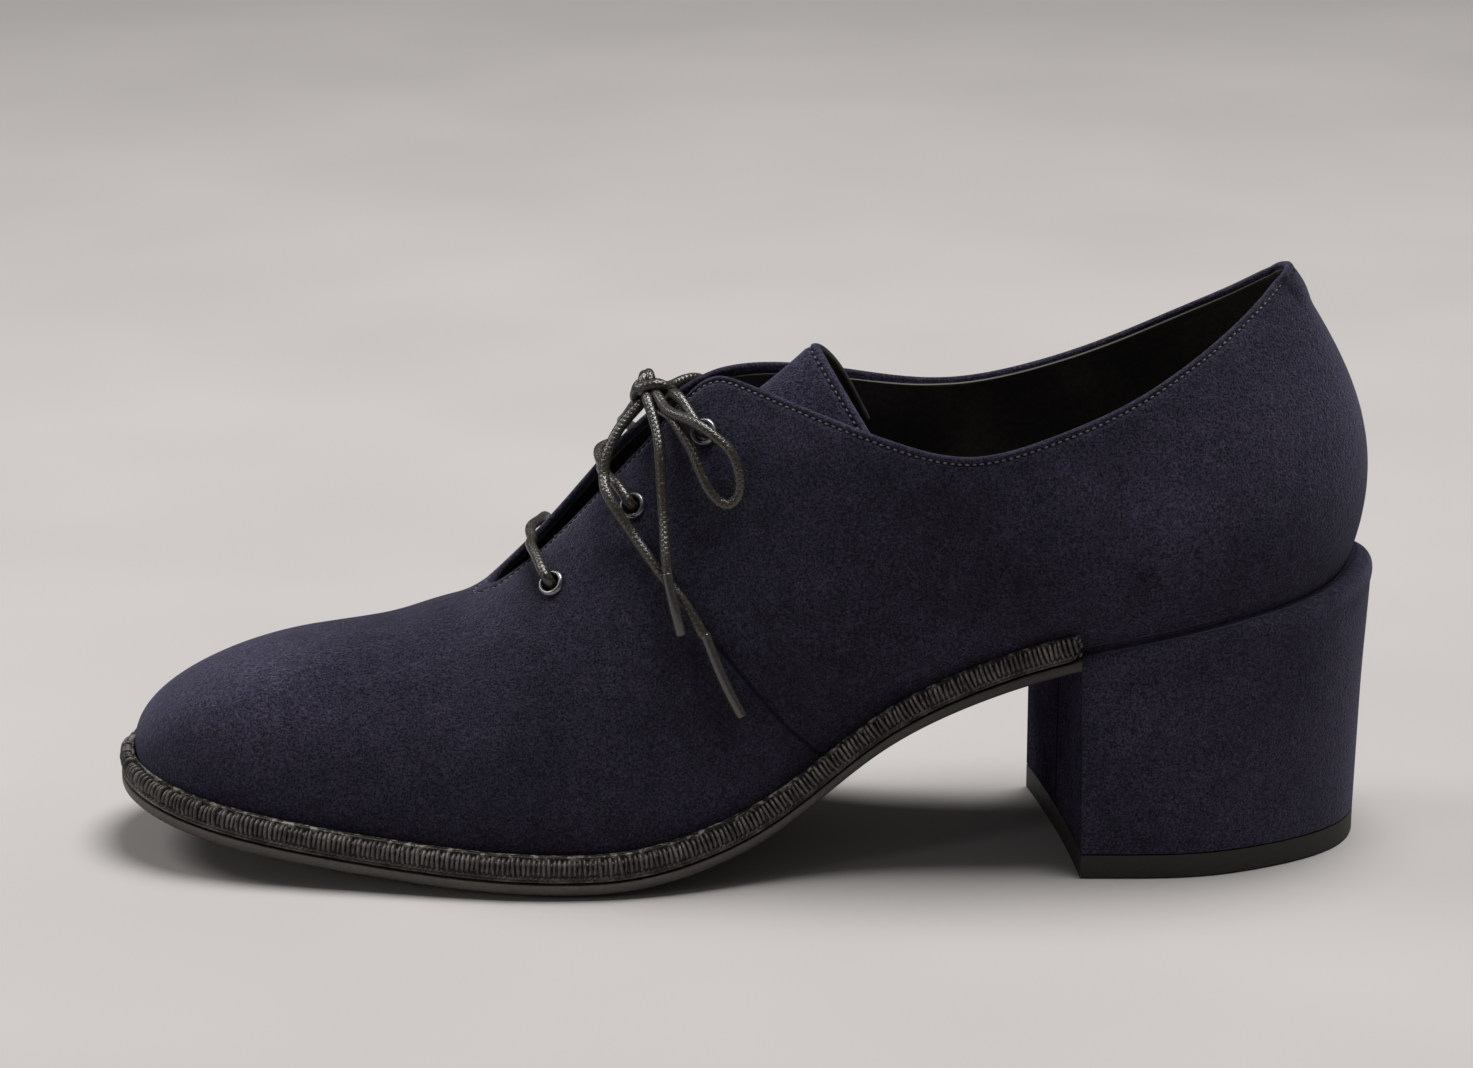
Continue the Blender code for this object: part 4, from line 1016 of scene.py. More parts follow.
# ---- welt ----
# A storm welt of brown-black leather round the forepart: a raised rib pressed into close ridges,
# stitched down through the sole on a flat lower band, with a rough cut strip along its top.
WELT_OFFSET = 2.6
WELT_MIDDLE = 2.3
WELT_GAP = 0.45
WELT_ENDS = 28.4
WELT_STEPS = 220
PATH_STEPS = 400
RIB_PATH = (3.35, 2.6)
STITCH_PATH = (4.12, 0.85)
RIBS = {"Pitch": 0.001, "Across": 0.0031, "Height": 0.0039, "Along": 0.00102, "Uneven": 0.13}
WELT_STITCH = {"Pitch": 0.00105, "Length": 0.00125, "Thickness": 0.0005, "Height": 0.0006, "Slant": 0.75}


def wall_reach(side, stations, heights):
    """How far the wall stands outside the feather line at heights above it."""
    levels = np.linspace(0, 0.6, 61)
    points = wall_points(side, stations, levels)
    foot = last_rows(side, stations)[:, :3]
    away = outward(side, stations)
    out = np.einsum("ijk,ik->ij", points[:, :, :2] - foot[:, None, :2], away)
    rise = points[:, :, 2] - foot[:, None, 2]
    return np.array([np.interp(heights, rise[i], out[i]) for i in range(len(stations))])


def welt_stations(side, count):
    end = station_at_breast(side, WELT_ENDS, WELT_OFFSET)
    return np.linspace(0, 1, count) ** 1.1 * end


def welt_fade(count):
    """1 along the welt and down to a rounded end at its breast corners."""
    near = np.clip((1 - np.linspace(0, 1, count) ** 1.1) / 0.012, 0, 1)
    return np.sqrt(1 - (1 - near) ** 2) * 0.75 + 0.25


# The welt's section: distance out from the feather line and height above it, from its foot outside
# round the lower band and the roll to the strip against the upper.
WELT_SECTION = [
    (4.4, 0.0), (4.5, 0.12), (4.42, 0.3), (4.15, 0.45), (4.05, 1.0), (3.9, 1.4), (3.9, 1.8), (3.9, 2.3),
    (3.9, 3.0), (3.6, 3.45), (3.1, 3.65), (2.7, 3.6), (2.5, 3.55),
]
WELT_STRIP = [(2.45, 4.0), (2.3, 4.45), (1.9, 4.6)]
BEHIND_RIBS = slice(4, 12)
STRIP_ON = slice(12, None)


def band_faces(rows, count, closed=False):
    """Faces between closed rings of this many points, and from the last ring to the first."""
    faces = []
    for i in range(rows if closed else rows - 1):
        a, b = i * count, (i + 1) % rows * count
        for j in range(count):
            after = (j + 1) % count
            faces.append((a + j, b + j, b + after, a + after))
    return faces


def welt_mesh():
    ribs = []
    fade = welt_fade(WELT_STEPS)
    for side in SIDES:
        s = welt_stations(side, WELT_STEPS)
        reach = wall_reach(side, s, np.array([0.4, 2.2, 4.2])).T
        away = outward(side, s)
        foot = last_rows(side, s)[:, :3]

        def at(out, up):
            rise = np.full(WELT_STEPS, 1.0) * up
            return foot + np.column_stack([away * np.reshape(out, (-1, 1)), rise])

        def drawn_in(up):
            return WELT_MIDDLE + (up - WELT_MIDDLE) * fade

        section = [at(WELT_OFFSET + (out - WELT_OFFSET) * fade, drawn_in(up)) for out, up in WELT_SECTION]
        strip = [at(np.maximum(out, reach[2] + WELT_GAP + 0.2), drawn_in(up)) for out, up in WELT_STRIP]
        inner = [at(reach[k] + WELT_GAP, height) for k, height in ((2, 4.4), (1, 2.2), (0, 0.1))]
        ribs.append(np.stack(section + strip + inner, axis=1))
    around = np.concatenate([ribs[0][::-1], ribs[1][1:]])
    total, sides = around.shape[:2]
    ends = [list(range(sides)), [(total - 1) * sides + j for j in range(sides)][::-1]]
    # Painted shade on the core: full behind the ribs, slight elsewhere.
    gap = np.full((total, sides), 0.2)
    gap[:, BEHIND_RIBS] = 1.0
    strip = np.zeros((total, sides))
    strip[:, STRIP_ON] = 1.0
    faces = band_faces(total, sides) + ends
    return mesh_of("welt_core", around.reshape(-1, 3), faces, 50, gap=gap, strip=strip)


def along_welt(out, up):
    """A path beside the feather line from one breast corner round to the other, with its outward."""
    lines = []
    for side in SIDES:
        s = welt_stations(side, PATH_STEPS)
        level = np.column_stack([outward(side, s), np.zeros(PATH_STEPS)])
        lines.append(np.stack([sole_points(side, s, out, up), level]))
    return np.concatenate([lines[0][:, ::-1], lines[1][:, 1:]], axis=1)


def rib_parts(graph, given):
    """A flat pod across the roll, a little uneven in size and lean, marked with painted shade that grows
    from its middle out.
    """
    ball = graph.add("GeometryNodeMeshUVSphere", Segments=12, Rings=7, Radius=0.5)["Mesh"]
    place = graph.add("GeometryNodeInputPosition")[0]
    up = graph.add("ShaderNodeSeparateXYZ", Vector=place)[2]
    aside = graph.math("ABSOLUTE", graph.times(up, 2.0))
    pod = graph.add("GeometryNodeStoreNamedAttribute", Geometry=ball, Name="gap", Value=aside)[0]
    index = graph.add("GeometryNodeInputIndex")[0]
    second = graph.times(graph.math("MODULO", index, 2.0), 0.06)
    uneven = graph.add("FunctionNodeRandomValue", Min=-1.0, Max=1.0, Seed=3)[1]
    factor = graph.plus(1.0, graph.times(uneven, given["Uneven"]))
    factor = graph.minus(factor, second)
    width = graph.add("GeometryNodeInputNamedAttribute", {"data_type": "FLOAT"}, Name="width")[0]
    factor = graph.times(factor, width)
    across = graph.times(given["Across"], factor)
    height = graph.times(given["Height"], factor)
    lean = graph.vector(graph.times(uneven, 0.12))
    return pod, graph.vector(across, height, given["Along"]), lean


def make_welt_leather():
    look = Finish("welt_leather")
    worn = look.wear(300.0, 0.4, 0.72)
    tone, fine = look.grain(1600.0, 0.65, 0.6, 1.4)
    colour = look.mix(worn, (0.0380, 0.0325, 0.0300, 1), (0.1500, 0.1320, 0.1220, 1))
    # Painted shade: the rib sides and the core behind the ribs turn near black.
    gap = look.spread(look.kept("gap"), 0.45, 0.95)
    colour = look.mix(gap, look.toned(colour, tone), (0.0060, 0.0048, 0.0042, 1))
    flecks = look.wear(700.0, 0.50, 0.62)
    rough = look.mix(flecks, (0.0130, 0.0105, 0.0085, 1), (0.2700, 0.2400, 0.2050, 1))
    colour = look.mix(look.kept("strip"), colour, rough)
    return look.done(colour, look.spread(fine, 0.3, 0.7, 0.32, 0.55), (fine, 0.45, 0.00015))


welt_leather = make_welt_leather()
piece("welt_core", welt_mesh(), welt_leather, "welt_leather", "welt")
rib_axes = {"primary_axis": "X", "secondary_axis": "Z"}
ribs = laid_tree("welt_ribs", RIBS, rib_axes, rib_parts)
fade = welt_fade(PATH_STEPS)
path = path_object("rib_path", *along_welt(*RIB_PATH), np.concatenate([fade[::-1], fade[1:]]))
piece("welt_ribs", grown("welt_ribs", path, ribs, welt_leather, RIBS), welt_leather, "welt_leather")
path = path_object("welt_stitch_path", *along_welt(*STITCH_PATH))
mesh = grown("welt_stitches", path, stitches, welt_leather, WELT_STITCH)
piece("welt_stitches", mesh, welt_leather, "welt_leather")


# ---- heel block ----
# A wooden block covered in the upper's suede, wrapped round from the breast, where the two ends
# meet in a seam, and folded in under the lip that grips the heel seat.
HEEL_HALF = 28.5
TOP_PIECE = 5.0
TOP_PIECE_INSET = 0.4
BREAST_HOLLOW = 0.8
BREAST_SEAM = -1.6
BREAST_FACING = 0.8
SEAT_EDGE = 0.9
HeelRow = namedtuple("HeelRow", "ahead half")
HEEL_PLAN = [
    HeelRow(28.0, 26.3),
    HeelRow(14.0, 28.2),
    HeelRow(3.0, 28.5),
    HeelRow(-8.0, 26.3),
    HeelRow(-18.5, 22.3),
    HeelRow(-26.5, 17.0),
    HeelRow(-32.0, 9.5),
    HeelRow(-34.2, 0.0),
]
HeelLevel = namedtuple("HeelLevel", "height share")
HEEL_LEVELS = [HeelLevel(0.0, 0.0), HeelLevel(0.3, 0.22), HeelLevel(0.65, 0.52), HeelLevel(0.9, 0.88)]
Lip = namedtuple("Lip", "side back up")
HEEL_LIP = [Lip(2.5, 4.2, -6.5), Lip(2.8, 4.5, -3.8), Lip(2.4, 3.5, -1.7), Lip(1.6, 1.9, -0.7)]
HEEL_STEPS = 70
HEEL_COLUMNS = 25


def evenly(points, count):
    """Evenly spaced points along a line of many points."""
    along = run_along(points)
    want = np.linspace(0, along[-1], count)
    return np.stack([np.interp(want, along, column) for column in points.T], axis=1)


def smooth_line(points, count):
    """Evenly spaced points on a smooth curve through a short list of points."""
    p = np.array(points, float)
    knots = np.append(0, np.cumsum(np.sqrt(np.linalg.norm(np.diff(p, axis=0), axis=1))))
    return evenly(spline(knots, p)(np.linspace(0, knots[-1], 40 * len(p))), count)


def heel_outline(inset, count):
    """The heel's plan, from the breast's outer corner round the back to its inner corner."""
    lateral = np.array([(h.ahead, h.half) for h in HEEL_PLAN], float)
    medial = lateral[-2::-1] * (1, -1)
    round_back = smooth_line(np.vstack([lateral, medial]), count)
    shrink = 1 - inset / HEEL_HALF
    point, along = breast_line(0.0)
    side = np.array([-along[1], along[0]])
    at_breast = round_back[:, 0] > BREAST_AHEAD - 0.5
    ahead = np.where(at_breast, round_back[:, 0], round_back[:, 0] * shrink)
    return point + ahead[:, None] * along + (round_back[:, 1] * shrink)[:, None] * side


def heel_ring(plan, z):
    return np.column_stack([plan, np.full(len(plan), z)])


def breast_row(a, b, hollow):
    """Points across the breast from a to b, hollowed towards the back in the middle."""
    _, along = breast_line(0.0)
    u = np.linspace(0, 1, HEEL_COLUMNS)[1:-1]
    row = a[None] * (1 - u)[:, None] + b[None] * u[:, None]
    row[:, :2] -= (hollow * (1 - (2 * u - 1) ** 2))[:, None] * along
    return row


def heel_mesh(name, rings, seat):
    """Stacked outlines with a hollowed breast, closed by a flat base and the given top sheet."""
    points = [np.vstack([ring, breast_row(ring[-1], ring[0], BREAST_HOLLOW)]) for ring in rings]
    count = len(points[0])
    faces = [list(range(count))[::-1]] + band_faces(len(points), count)
    last = (len(points) - 1) * count
    if seat is None:
        faces.append([last + i for i in range(count)])
        return mesh_of(name, np.vstack(points), faces)
    rows, columns = seat.shape[:2]
    start = last + count
    points.append(seat.reshape(-1, 3))
    faces += sheet_faces(rows, columns, start)
    outer = [i * columns for i in range(rows)]
    inner = [i * columns + columns - 1 for i in range(rows - 2, -1, -1)]
    edge = [start + k for k in outer + inner + list(range(columns - 2, 0, -1))]
    for i in range(count):
        after = (i + 1) % count
        faces.append((last + i, last + after, edge[after], edge[i]))
    return mesh_of(name, np.vstack(points), faces)


def lip_lines(side_out, back_out, above):
    """Points beside the feather from the breast to the back, on the outer and inner side."""
    lines = []
    for side in SIDES:
        stations = np.linspace(station_at_breast(side, BREAST_AHEAD, side_out), 1, HEEL_STEPS)
        turn = np.minimum(outward(side, stations)[:, 0], 0.0) ** 2
        beyond = side_out + (back_out - side_out) * turn[:, None]
        lines.append(sole_points(side, stations, beyond, above))
    return lines


def heel_cover():
    """The covered block: from the top piece's outline up to the lip round the heel seat."""
    lips = []
    for lip in HEEL_LIP:
        outer, inner = lip_lines(*lip)
        lips.append(np.vstack([outer, inner[-2::-1]]).ravel())
    lip_at = spline(np.arange(4.0), lips)
    lips = [lip_at(t).reshape(-1, 3) for t in np.linspace(0, 3, 13)]
    base = heel_ring(heel_outline(0.0, len(lips[0])), TOP_PIECE + GAP)
    table = np.array(HEEL_LEVELS + [(1.0, 1.0)])
    heights = np.linspace(0, 0.985, 26)
    rings = []
    for height, share in zip(heights, spline(table[:, 0], table[:, 1:])(heights)[:, 0]):
        ring = base * (1 - share) + lips[0] * share
        ring[:, 2] = base[:, 2] * (1 - height) + lips[0][:, 2] * height
        rings.append(ring)
    seat = grid_between(*lip_lines(SEAT_EDGE, SEAT_EDGE, -SEAT_DROP), HEEL_COLUMNS)
    seat[0, 1:-1] = breast_row(seat[0, 0], seat[0, -1], BREAST_HOLLOW)
    return heel_mesh("heel_cover", rings + lips, seat)


mesh = heel_cover()
mesh.materials.append(suede)
# Painted shade: the faces of the breast take a copy of the suede without sheen or gloss, so the breast
# looks darker.
mesh.materials.append(make_suede("flat_suede", 0.0, 0.0))
point, along = breast_line(BREAST_AHEAD)
on_breast = np.ones(len(mesh.vertices), bool)
for face in mesh.polygons:
    face.material_index = int(face.normal.x * along[0] + face.normal.y * along[1] > BREAST_FACING)
    if face.material_index == 0:
        on_breast[list(face.vertices)] = False
# Painted shade along the breast's seam and, through the row mark, in the crease under the lip; painted
# light lifts the cover's tone, more on the breast.
beside = (places_of(mesh)[:, :2] - point) @ np.array([-along[1], along[0]])
mark(mesh, "seam", 1.2 * (beside - BREAST_SEAM))
mark(mesh, "seam_end", np.where(on_breast, 0.0, SEAM_CLEAR))
mark(mesh, "nap", np.where(on_breast, 0.6, 0.25))
lip = np.vstack(lip_lines(SEAT_EDGE, SEAT_EDGE, -SEAT_DROP))
mark(mesh, "row", distance_to(places_of(mesh), lip))
piece("heel_cover", mesh, suede, "suede", "heel_block")


# ---- top piece ----
# The lift of hard black rubber nailed under the block, ground flush with it and lightly bevelled
# where it meets the ground.
def make_rubber():
    look = Finish("rubber")
    dust = look.wear(90.0, 0.4, 0.75)
    tone, fine = look.grain(1400.0, 0.7, 0.85, 1.15)
    colour = look.mix(dust, (0.0135, 0.0122, 0.0112, 1), (0.0310, 0.0285, 0.0265, 1))
    roughness = look.spread(dust, 0.0, 1.0, 0.62, 0.8)
    return look.done(look.toned(colour, tone), roughness, (fine, 0.4, 0.00012))


plan = heel_outline(0.0, 2 * HEEL_STEPS - 1)
under = heel_outline(TOP_PIECE_INSET, 2 * HEEL_STEPS - 1)
rings = [heel_ring(under, 0.0), heel_ring(plan, TOP_PIECE_INSET), heel_ring(plan, TOP_PIECE)]
piece("lift", heel_mesh("lift", rings, None), make_rubber(), "rubber", "top_piece")


# ---- tongue ----
# Two layers, suede outside and black leather inside, with thin padding between; sewn in under the
# throat, creased along its middle by the lacing, with its top edge rounded and stitched round.
TONGUE_THICK = 2.8
TONGUE_ROW = 1.5
TONGUE_LEAN = 1.8
TONGUE_SOFT = 0.012
Fold = namedtuple("Fold", "name x z tilt mid_y half drop")
TONGUE = [
    Fold("root", 57.0, 46.0, 28, 1.0, 14.0, 4.5),
    Fold("throat", 47.0, 53.2, 38, 1.0, 17.0, 8.5),
    Fold("instep", 31.0, 68.0, 41, 1.2, 19.0, 14.5),
    Fold("bow", 13.0, 82.8, 41, 1.6, 18.0, 18.0),
    Fold("collar", -1.0, 93.4, 39, 2.4, 17.0, 20.0),
    Fold("edge", -12.3, 103.8, 33, 4.0, 15.5, 23.0),
]


def tongue_sheet(rows, columns):
    """The tongue's outer face: a soft roof that falls away from its middle fold."""
    table = np.array([row[1:] for row in TONGUE], float)
    fold = spline(np.linspace(0, 1, len(table)), table)(rows)
    x, z, tilt, mid_y, half, drop = fold.T[:, :, None]
    tilt = np.radians(tilt)
    t = np.asarray(columns)[None]
    flat = TONGUE_SOFT**0.7
    fall = drop * (((t**2 + TONGUE_SOFT) ** 0.7 - flat) / ((1 + TONGUE_SOFT) ** 0.7 - flat))
    return np.stack([x - np.sin(tilt) * fall, mid_y + half * t, z - np.cos(tilt) * fall], axis=2)


def tongue_middle(rows, columns):
    """The sheet halfway through the tongue. Its far half leans back, away from the lacing."""
    outer = tongue_sheet(rows, columns)
    normal = np.cross(np.gradient(outer, axis=0), np.gradient(outer, axis=1))
    normal /= np.linalg.norm(normal, axis=2)[:, :, None]
    normal *= np.sign(normal[:, :, 2:3])
    lean = np.clip((np.asarray(rows) - 0.7) / 0.3, 0, 1)[:, None] ** 2
    far = np.clip(-np.asarray(columns), 0, 1)[None]
    outer[:, :, 0] -= TONGUE_LEAN * lean * np.sin(np.pi * far**0.8)
    return outer - normal * (TONGUE_THICK / 2), normal


def distance_inside(middle):
    """How far each point of the sheet is from its top edge and from its sides."""
    steps = np.linalg.norm(np.diff(middle, axis=0), axis=2)
    to_top = np.append(np.cumsum(steps[::-1], axis=0)[::-1], np.zeros((1, middle.shape[1])), axis=0)
    across = np.array([run_along(row) for row in middle])
    return to_top, np.minimum(across, across[:, -1:] - across)


def tongue_layer(name, low, high):
    """One layer of the tongue between two shares of its thickness, drawn in round its edge."""
    rows = 1 - (1 - np.linspace(0, 1, 120)) ** 1.3
    turn = np.linspace(-np.pi / 2, np.pi / 2, 81)
    columns = 0.75 * np.sin(turn) + 0.25 * turn / (np.pi / 2)
    middle, normal = tongue_middle(rows, columns)
    to_top, to_side = distance_inside(middle)
    near = np.clip(np.minimum(to_top, to_side) / 1.2, 0, 1)
    half = (TONGUE_THICK / 2) * np.sqrt(np.clip(1 - (1 - near) ** 2, 0.0, 1))
    half -= 0.35 * np.exp(-(((to_top - TONGUE_ROW) / 0.5) ** 2))
    over, under = [middle + normal * (half * share)[:, :, None] for share in (high, low)]
    return block_mesh(name, over, under, [], 70)


def tongue_row():
    """The stitched row inside the tongue's top edge, with the normals there."""
    columns = np.linspace(-0.96, 0.96, 161)
    middle, normal = tongue_middle(np.linspace(0.8, 1, 200), columns)
    at = np.argmin(np.abs(distance_inside(middle)[0] - TONGUE_ROW), axis=0)
    pick = np.arange(len(columns))
    return middle[at, pick] + normal[at, pick] * (TONGUE_THICK / 2 - 0.22), normal[at, pick]


row_points, row_normals = tongue_row()
mesh = tongue_layer("tongue_suede", -0.1, 1.0)
# The row mark paints shade along the stitched row; the tone mark is painted light that lifts the whole
# tongue.
mark(mesh, "row", distance_to(places_of(mesh), row_points))
mark(mesh, "seam_end", SEAM_CLEAR)
mark(mesh, "nap", 0.6)
piece("tongue_suede", mesh, suede, "suede", "tongue")
mesh = tongue_layer("tongue_lining", -1.0, -0.12)
piece("tongue_lining", mesh, lining_leather, "lining_leather", "tongue")
path = path_object("tongue_path", row_points, row_normals)
mesh = grown("stitches_tongue", path, stitches, navy_thread, STITCH)
piece("stitches_tongue", mesh, navy_thread, "suede")


# ---- eyelets ----
# Six pressed rings of dark gunmetal, clenched through suede and lining: a rolled rim outside, a
# barrel through the wall and a flared edge inside.
EYELET_OUTER = 2.8
EYELET_BORE = 1.65
EYELET_BARREL = 2.05
EYELET_HIGH = 0.7
EYELET_SEAT = 0.1
RING_STEPS = 48


def turned_mesh(name, profile, centre, axis):
    """A ring turned from (radius, height) pairs about an axis through its centre."""
    axis = np.asarray(axis) / np.linalg.norm(axis)
    across = np.cross(axis, (1.0, 0.0, 0.0))
    across /= np.linalg.norm(across)
    other = np.cross(axis, across)
    points = []
    for k in range(RING_STEPS):
        angle = 2 * np.pi * k / RING_STEPS
        spoke = np.cos(angle) * across + np.sin(angle) * other
        points += [centre + radius * spoke + height * axis for radius, height in profile]
    return mesh_of(name, np.array(points), band_faces(RING_STEPS, len(profile), closed=True), 60)


def eyelet_profile():
    """The rolled rim, the barrel and the flared edge inside."""
    middle = (EYELET_OUTER + EYELET_BORE) / 2
    reach = (EYELET_OUTER - EYELET_BORE) / 2
    turns = np.radians(np.linspace(0, 180, 13))
    high = EYELET_HIGH + 0.15
    roll = [(middle + reach * np.cos(t), EYELET_SEAT + high * np.sin(t)) for t in turns]
    barrel = [(EYELET_BORE, -UPPER_WALL - 0.2), (EYELET_BORE + 0.6, -UPPER_WALL - 0.45)]
    outside = [(EYELET_BORE + 0.65, -UPPER_WALL - 0.2), (EYELET_BARREL, -UPPER_WALL), (EYELET_BARREL, -0.3)]
    return roll + barrel + outside + [(EYELET_OUTER - 0.1, -0.25)]


def make_gunmetal():
    look = Finish("gunmetal")
    rub = look.wear(500.0, 0.3, 0.7)
    colour = look.mix(rub, (0.16, 0.16, 0.17, 1), (0.34, 0.335, 0.34, 1))
    return look.done(colour, look.spread(rub, 0.0, 1.0, 0.24, 0.42), (rub, 0.15, 0.00005), Metallic=1.0)


gunmetal = make_gunmetal()
for side, word in SIDES.items():
    for number, row in enumerate(EYELETS, start=1):
        name = f"ring_{word}_{number}"
        centre, normal = on_wall(side, row.top_x, row.inset)
        mesh = turned_mesh(name, eyelet_profile(), centre[0], normal[0])
        piece(name, mesh, gunmetal, "gunmetal", f"eyelet_{word}_{number}")


# ---- lace ----
# One round cord of waxed dark cotton, plaited over a core: three straight bars over the tongue,
# each let down through a pair of eyelets, then a bow with two loops and two tipped ends.
LACE = 2.15
AGLET = 2.1
Bar = namedtuple("Bar", "outer middle inner rise")
LACE_BARS = [Bar(2.6, 3.6, 3.0, 2.2), Bar(3.2, 4.8, 4.2, 2.5), Bar(3.0, 6.0, 5.2, 0.9)]
BAR_OVER_RING = 2.1
BAR_OVER_WALL = {LATERAL: 2.05, MEDIAL: 1.25}
BAR_SINK = 0.9
KNOT_MIDDLE = (20.3, 1.5, 95.4)
KNOT_ROOT = (20.3, 0.9, 93.0)
KNOT_HALF = (2.0, 1.6, 1.2)
LACE_BOW = {
    "lace_loop_near": [
        (18.9, 5.6, 93.6), (17.9, 8.6, 92.6), (16.4, 12.4, 91.9), (13.8, 15.4, 91.5), (10.4, 18.2, 90.3),
        (7.4, 19.8, 88.3), (5.0, 20.9, 85.9), (3.7, 21.5, 82.5), (3.3, 21.7, 79.4), (4.1, 21.9, 76.8),
        (5.9, 21.9, 75.7), (8.1, 21.6, 76.9), (9.9, 21.0, 79.5), (11.6, 19.3, 83.3), (13.0, 17.2, 86.4),
        (15.0, 13.9, 89.2), (16.5, 9.9, 90.6), (18.4, 5.6, 90.9),
    ],
    "lace_loop_far": [
        (22.2, -2.6, 90.6), (24.4, -5.4, 86.6), (25.4, -8.8, 84.4), (24.6, -13.0, 82.8),
        (21.6, -17.2, 79.6), (18.4, -20.6, 76.4), (15.2, -22.2, 75.0), (12.0, -21.9, 76.2),
        (9.6, -20.4, 79.6), (8.3, -18.4, 83.8), (8.0, -15.9, 88.0), (8.7, -13.3, 91.2),
        (10.9, -11.1, 92.5), (13.4, -9.1, 92.5), (15.7, -6.6, 92.2), (18.2, -2.8, 92.9),
    ],
    "lace_end_near": [
        (22.0, 3.6, 91.4), (24.4, 5.2, 89.2), (26.7, 7.2, 86.8), (28.3, 9.2, 84.2), (29.4, 11.0, 81.4),
        (29.6, 12.4, 79.0), (29.4, 14.6, 77.1), (27.7, 17.0, 74.0), (24.9, 18.1, 69.8), (21.9, 20.9, 66.0),
        (18.3, 23.8, 61.5), (14.6, 26.0, 57.2), (12.0, 27.5, 53.0), (10.2, 28.2, 50.1),
    ],
    "lace_end_far": [
        (20.8, 5.8, 93.0), (20.0, 8.8, 90.8), (19.0, 12.3, 87.6), (18.7, 15.2, 84.2), (18.5, 17.4, 78.4),
        (18.2, 20.5, 72.2), (18.0, 24.8, 66.6), (17.7, 26.8, 63.0),
    ],
}
AGLETS = {
    "aglet_near": [(9.8, 28.5, 49.2), (6.7, 29.7, 41.4), (3.4, 30.2, 34.7)],
    "aglet_far": [(17.6, 27.2, 62.0), (16.4, 28.3, 56.4), (15.2, 28.6, 51.2)],
}
LACE_SIDES = 16


def cord_mesh(name, line, width, ending=0.35, spacing=0.45):
    """A round cord along a line, with rounded ends and a UV map: once round, and along in widths."""
    total = run_along(line)[-1]
    points = evenly(line, max(8, int(total / spacing)))
    count = len(points)
    along = np.gradient(points, axis=0)
    along /= np.linalg.norm(along, axis=1)[:, None]
    carried = np.array((0.0, 0.0, 1.0)) if abs(along[0][2]) < 0.9 else np.array((1.0, 0.0, 0.0))
    run = np.linspace(0, total, count)
    ends = np.clip(np.minimum(run, total - run) / (ending * width), 0.12, 1)
    radius = width / 2 * np.sqrt(1 - (1 - ends) ** 2)
    angles = 2 * np.pi * np.arange(LACE_SIDES) / LACE_SIDES
    shape = bmesh.new()
    map_layer = shape.loops.layers.uv.new("UVMap")
    rings = []
    for k in range(count):
        carried = carried - along[k] * (carried @ along[k])
        carried /= np.linalg.norm(carried)
        other = np.cross(along[k], carried)
        spokes = [np.cos(angle) * carried + np.sin(angle) * other for angle in angles]
        rings.append([shape.verts.new(in_metres(points[k] + radius[k] * spoke)) for spoke in spokes])
    for k in range(count - 1):
        for j in range(LACE_SIDES):
            after = (j + 1) % LACE_SIDES
            face = shape.faces.new((rings[k][j], rings[k][after], rings[k + 1][after], rings[k + 1][j]))
            for loop, (u, v) in zip(face.loops, ((j, k), (j + 1, k), (j + 1, k + 1), (j, k + 1))):
                loop[map_layer].uv = (u / LACE_SIDES, run[v] / width)
    shape.faces.new(rings[0][::-1])
    shape.faces.new(rings[-1])
    bmesh.ops.recalc_face_normals(shape, faces=shape.faces)
    return smooth_mesh(bpy.data.meshes.new(name), shape)


def make_waxed_lace():
    """Plaited cotton: two sets of strands that cross over each other, with painted shade in the hollows
    between them and light waxy flecks that are partly real and partly painted glints.
    """
    look = Finish("waxed_lace")
    uv = look.add("ShaderNodeTexCoord")["UV"]
    split = look.add("ShaderNodeSeparateXYZ", Vector=uv)
    turns = look.times(split[0], 6.0)
    run = look.times(split[1], 2.0)
    strands = []
    for way in ("ADD", "SUBTRACT"):
        phase = look.times(look.math(way, turns, run), np.pi)
        strands.append(look.math("ABSOLUTE", look.math("SINE", phase)))
    plait = look.math("MAXIMUM", *strands)
    tone, fuzz = look.grain(1800.0, 0.7, 0.7, 1.3)
    # Light flecks: partly dried dressing on the cord, partly painted glints of light on it.
    wax_flecks_and_glints = look.wear(1700.0, 0.63, 0.68, 0.8)
    # Painted shade: the plait's hollows between the strands are darker than the strands laid over them.
    over = look.spread(plait, 0.4, 1.0)
    colour = look.mix(over, (0.0095, 0.0076, 0.0058, 1), (0.0350, 0.0288, 0.0215, 1))
    colour = look.mix(wax_flecks_and_glints, look.toned(colour, tone), (0.34, 0.32, 0.29, 1))
    height = look.plus(plait, look.times(fuzz, 0.35))
    return look.done(colour, 0.3, (height, 0.6, 0.00014), Specular_IOR_Level=0.8)


def make_tip():
    """Clear lacquer drawn over the plait: smooth, dark and glossy."""
    look = Finish("lace_tip")
    smear = look.wear(1500.0, 0.35, 0.7)
    colour = look.mix(smear, (0.034, 0.031, 0.028, 1), (0.055, 0.050, 0.046, 1))
    roughness = look.spread(smear, 0.0, 1.0, 0.14, 0.22)
    return look.done(colour, roughness, (smear, 0.1, 0.00004), Specular_IOR_Level=0.9)


def bar_side(side, eyelet, ahead):
    """One end of a bar: up through its eyelet, over the ring's rim and along to the facing's edge."""
    x, inset = eyelet
    centre, normal = on_wall(side, x, inset)
    hole = [centre[0] + normal[0] * height for height in (-4.2, -1.2, 0.6)]
    above = BAR_OVER_WALL[side]
    places = [(0.2, inset - 1.0, BAR_OVER_RING), (ahead / 2, inset / 2, above), (ahead, 0.0, above)]
    return hole + [on_wall(side, x + further, down, over)[0][0] for further, down, over in places]


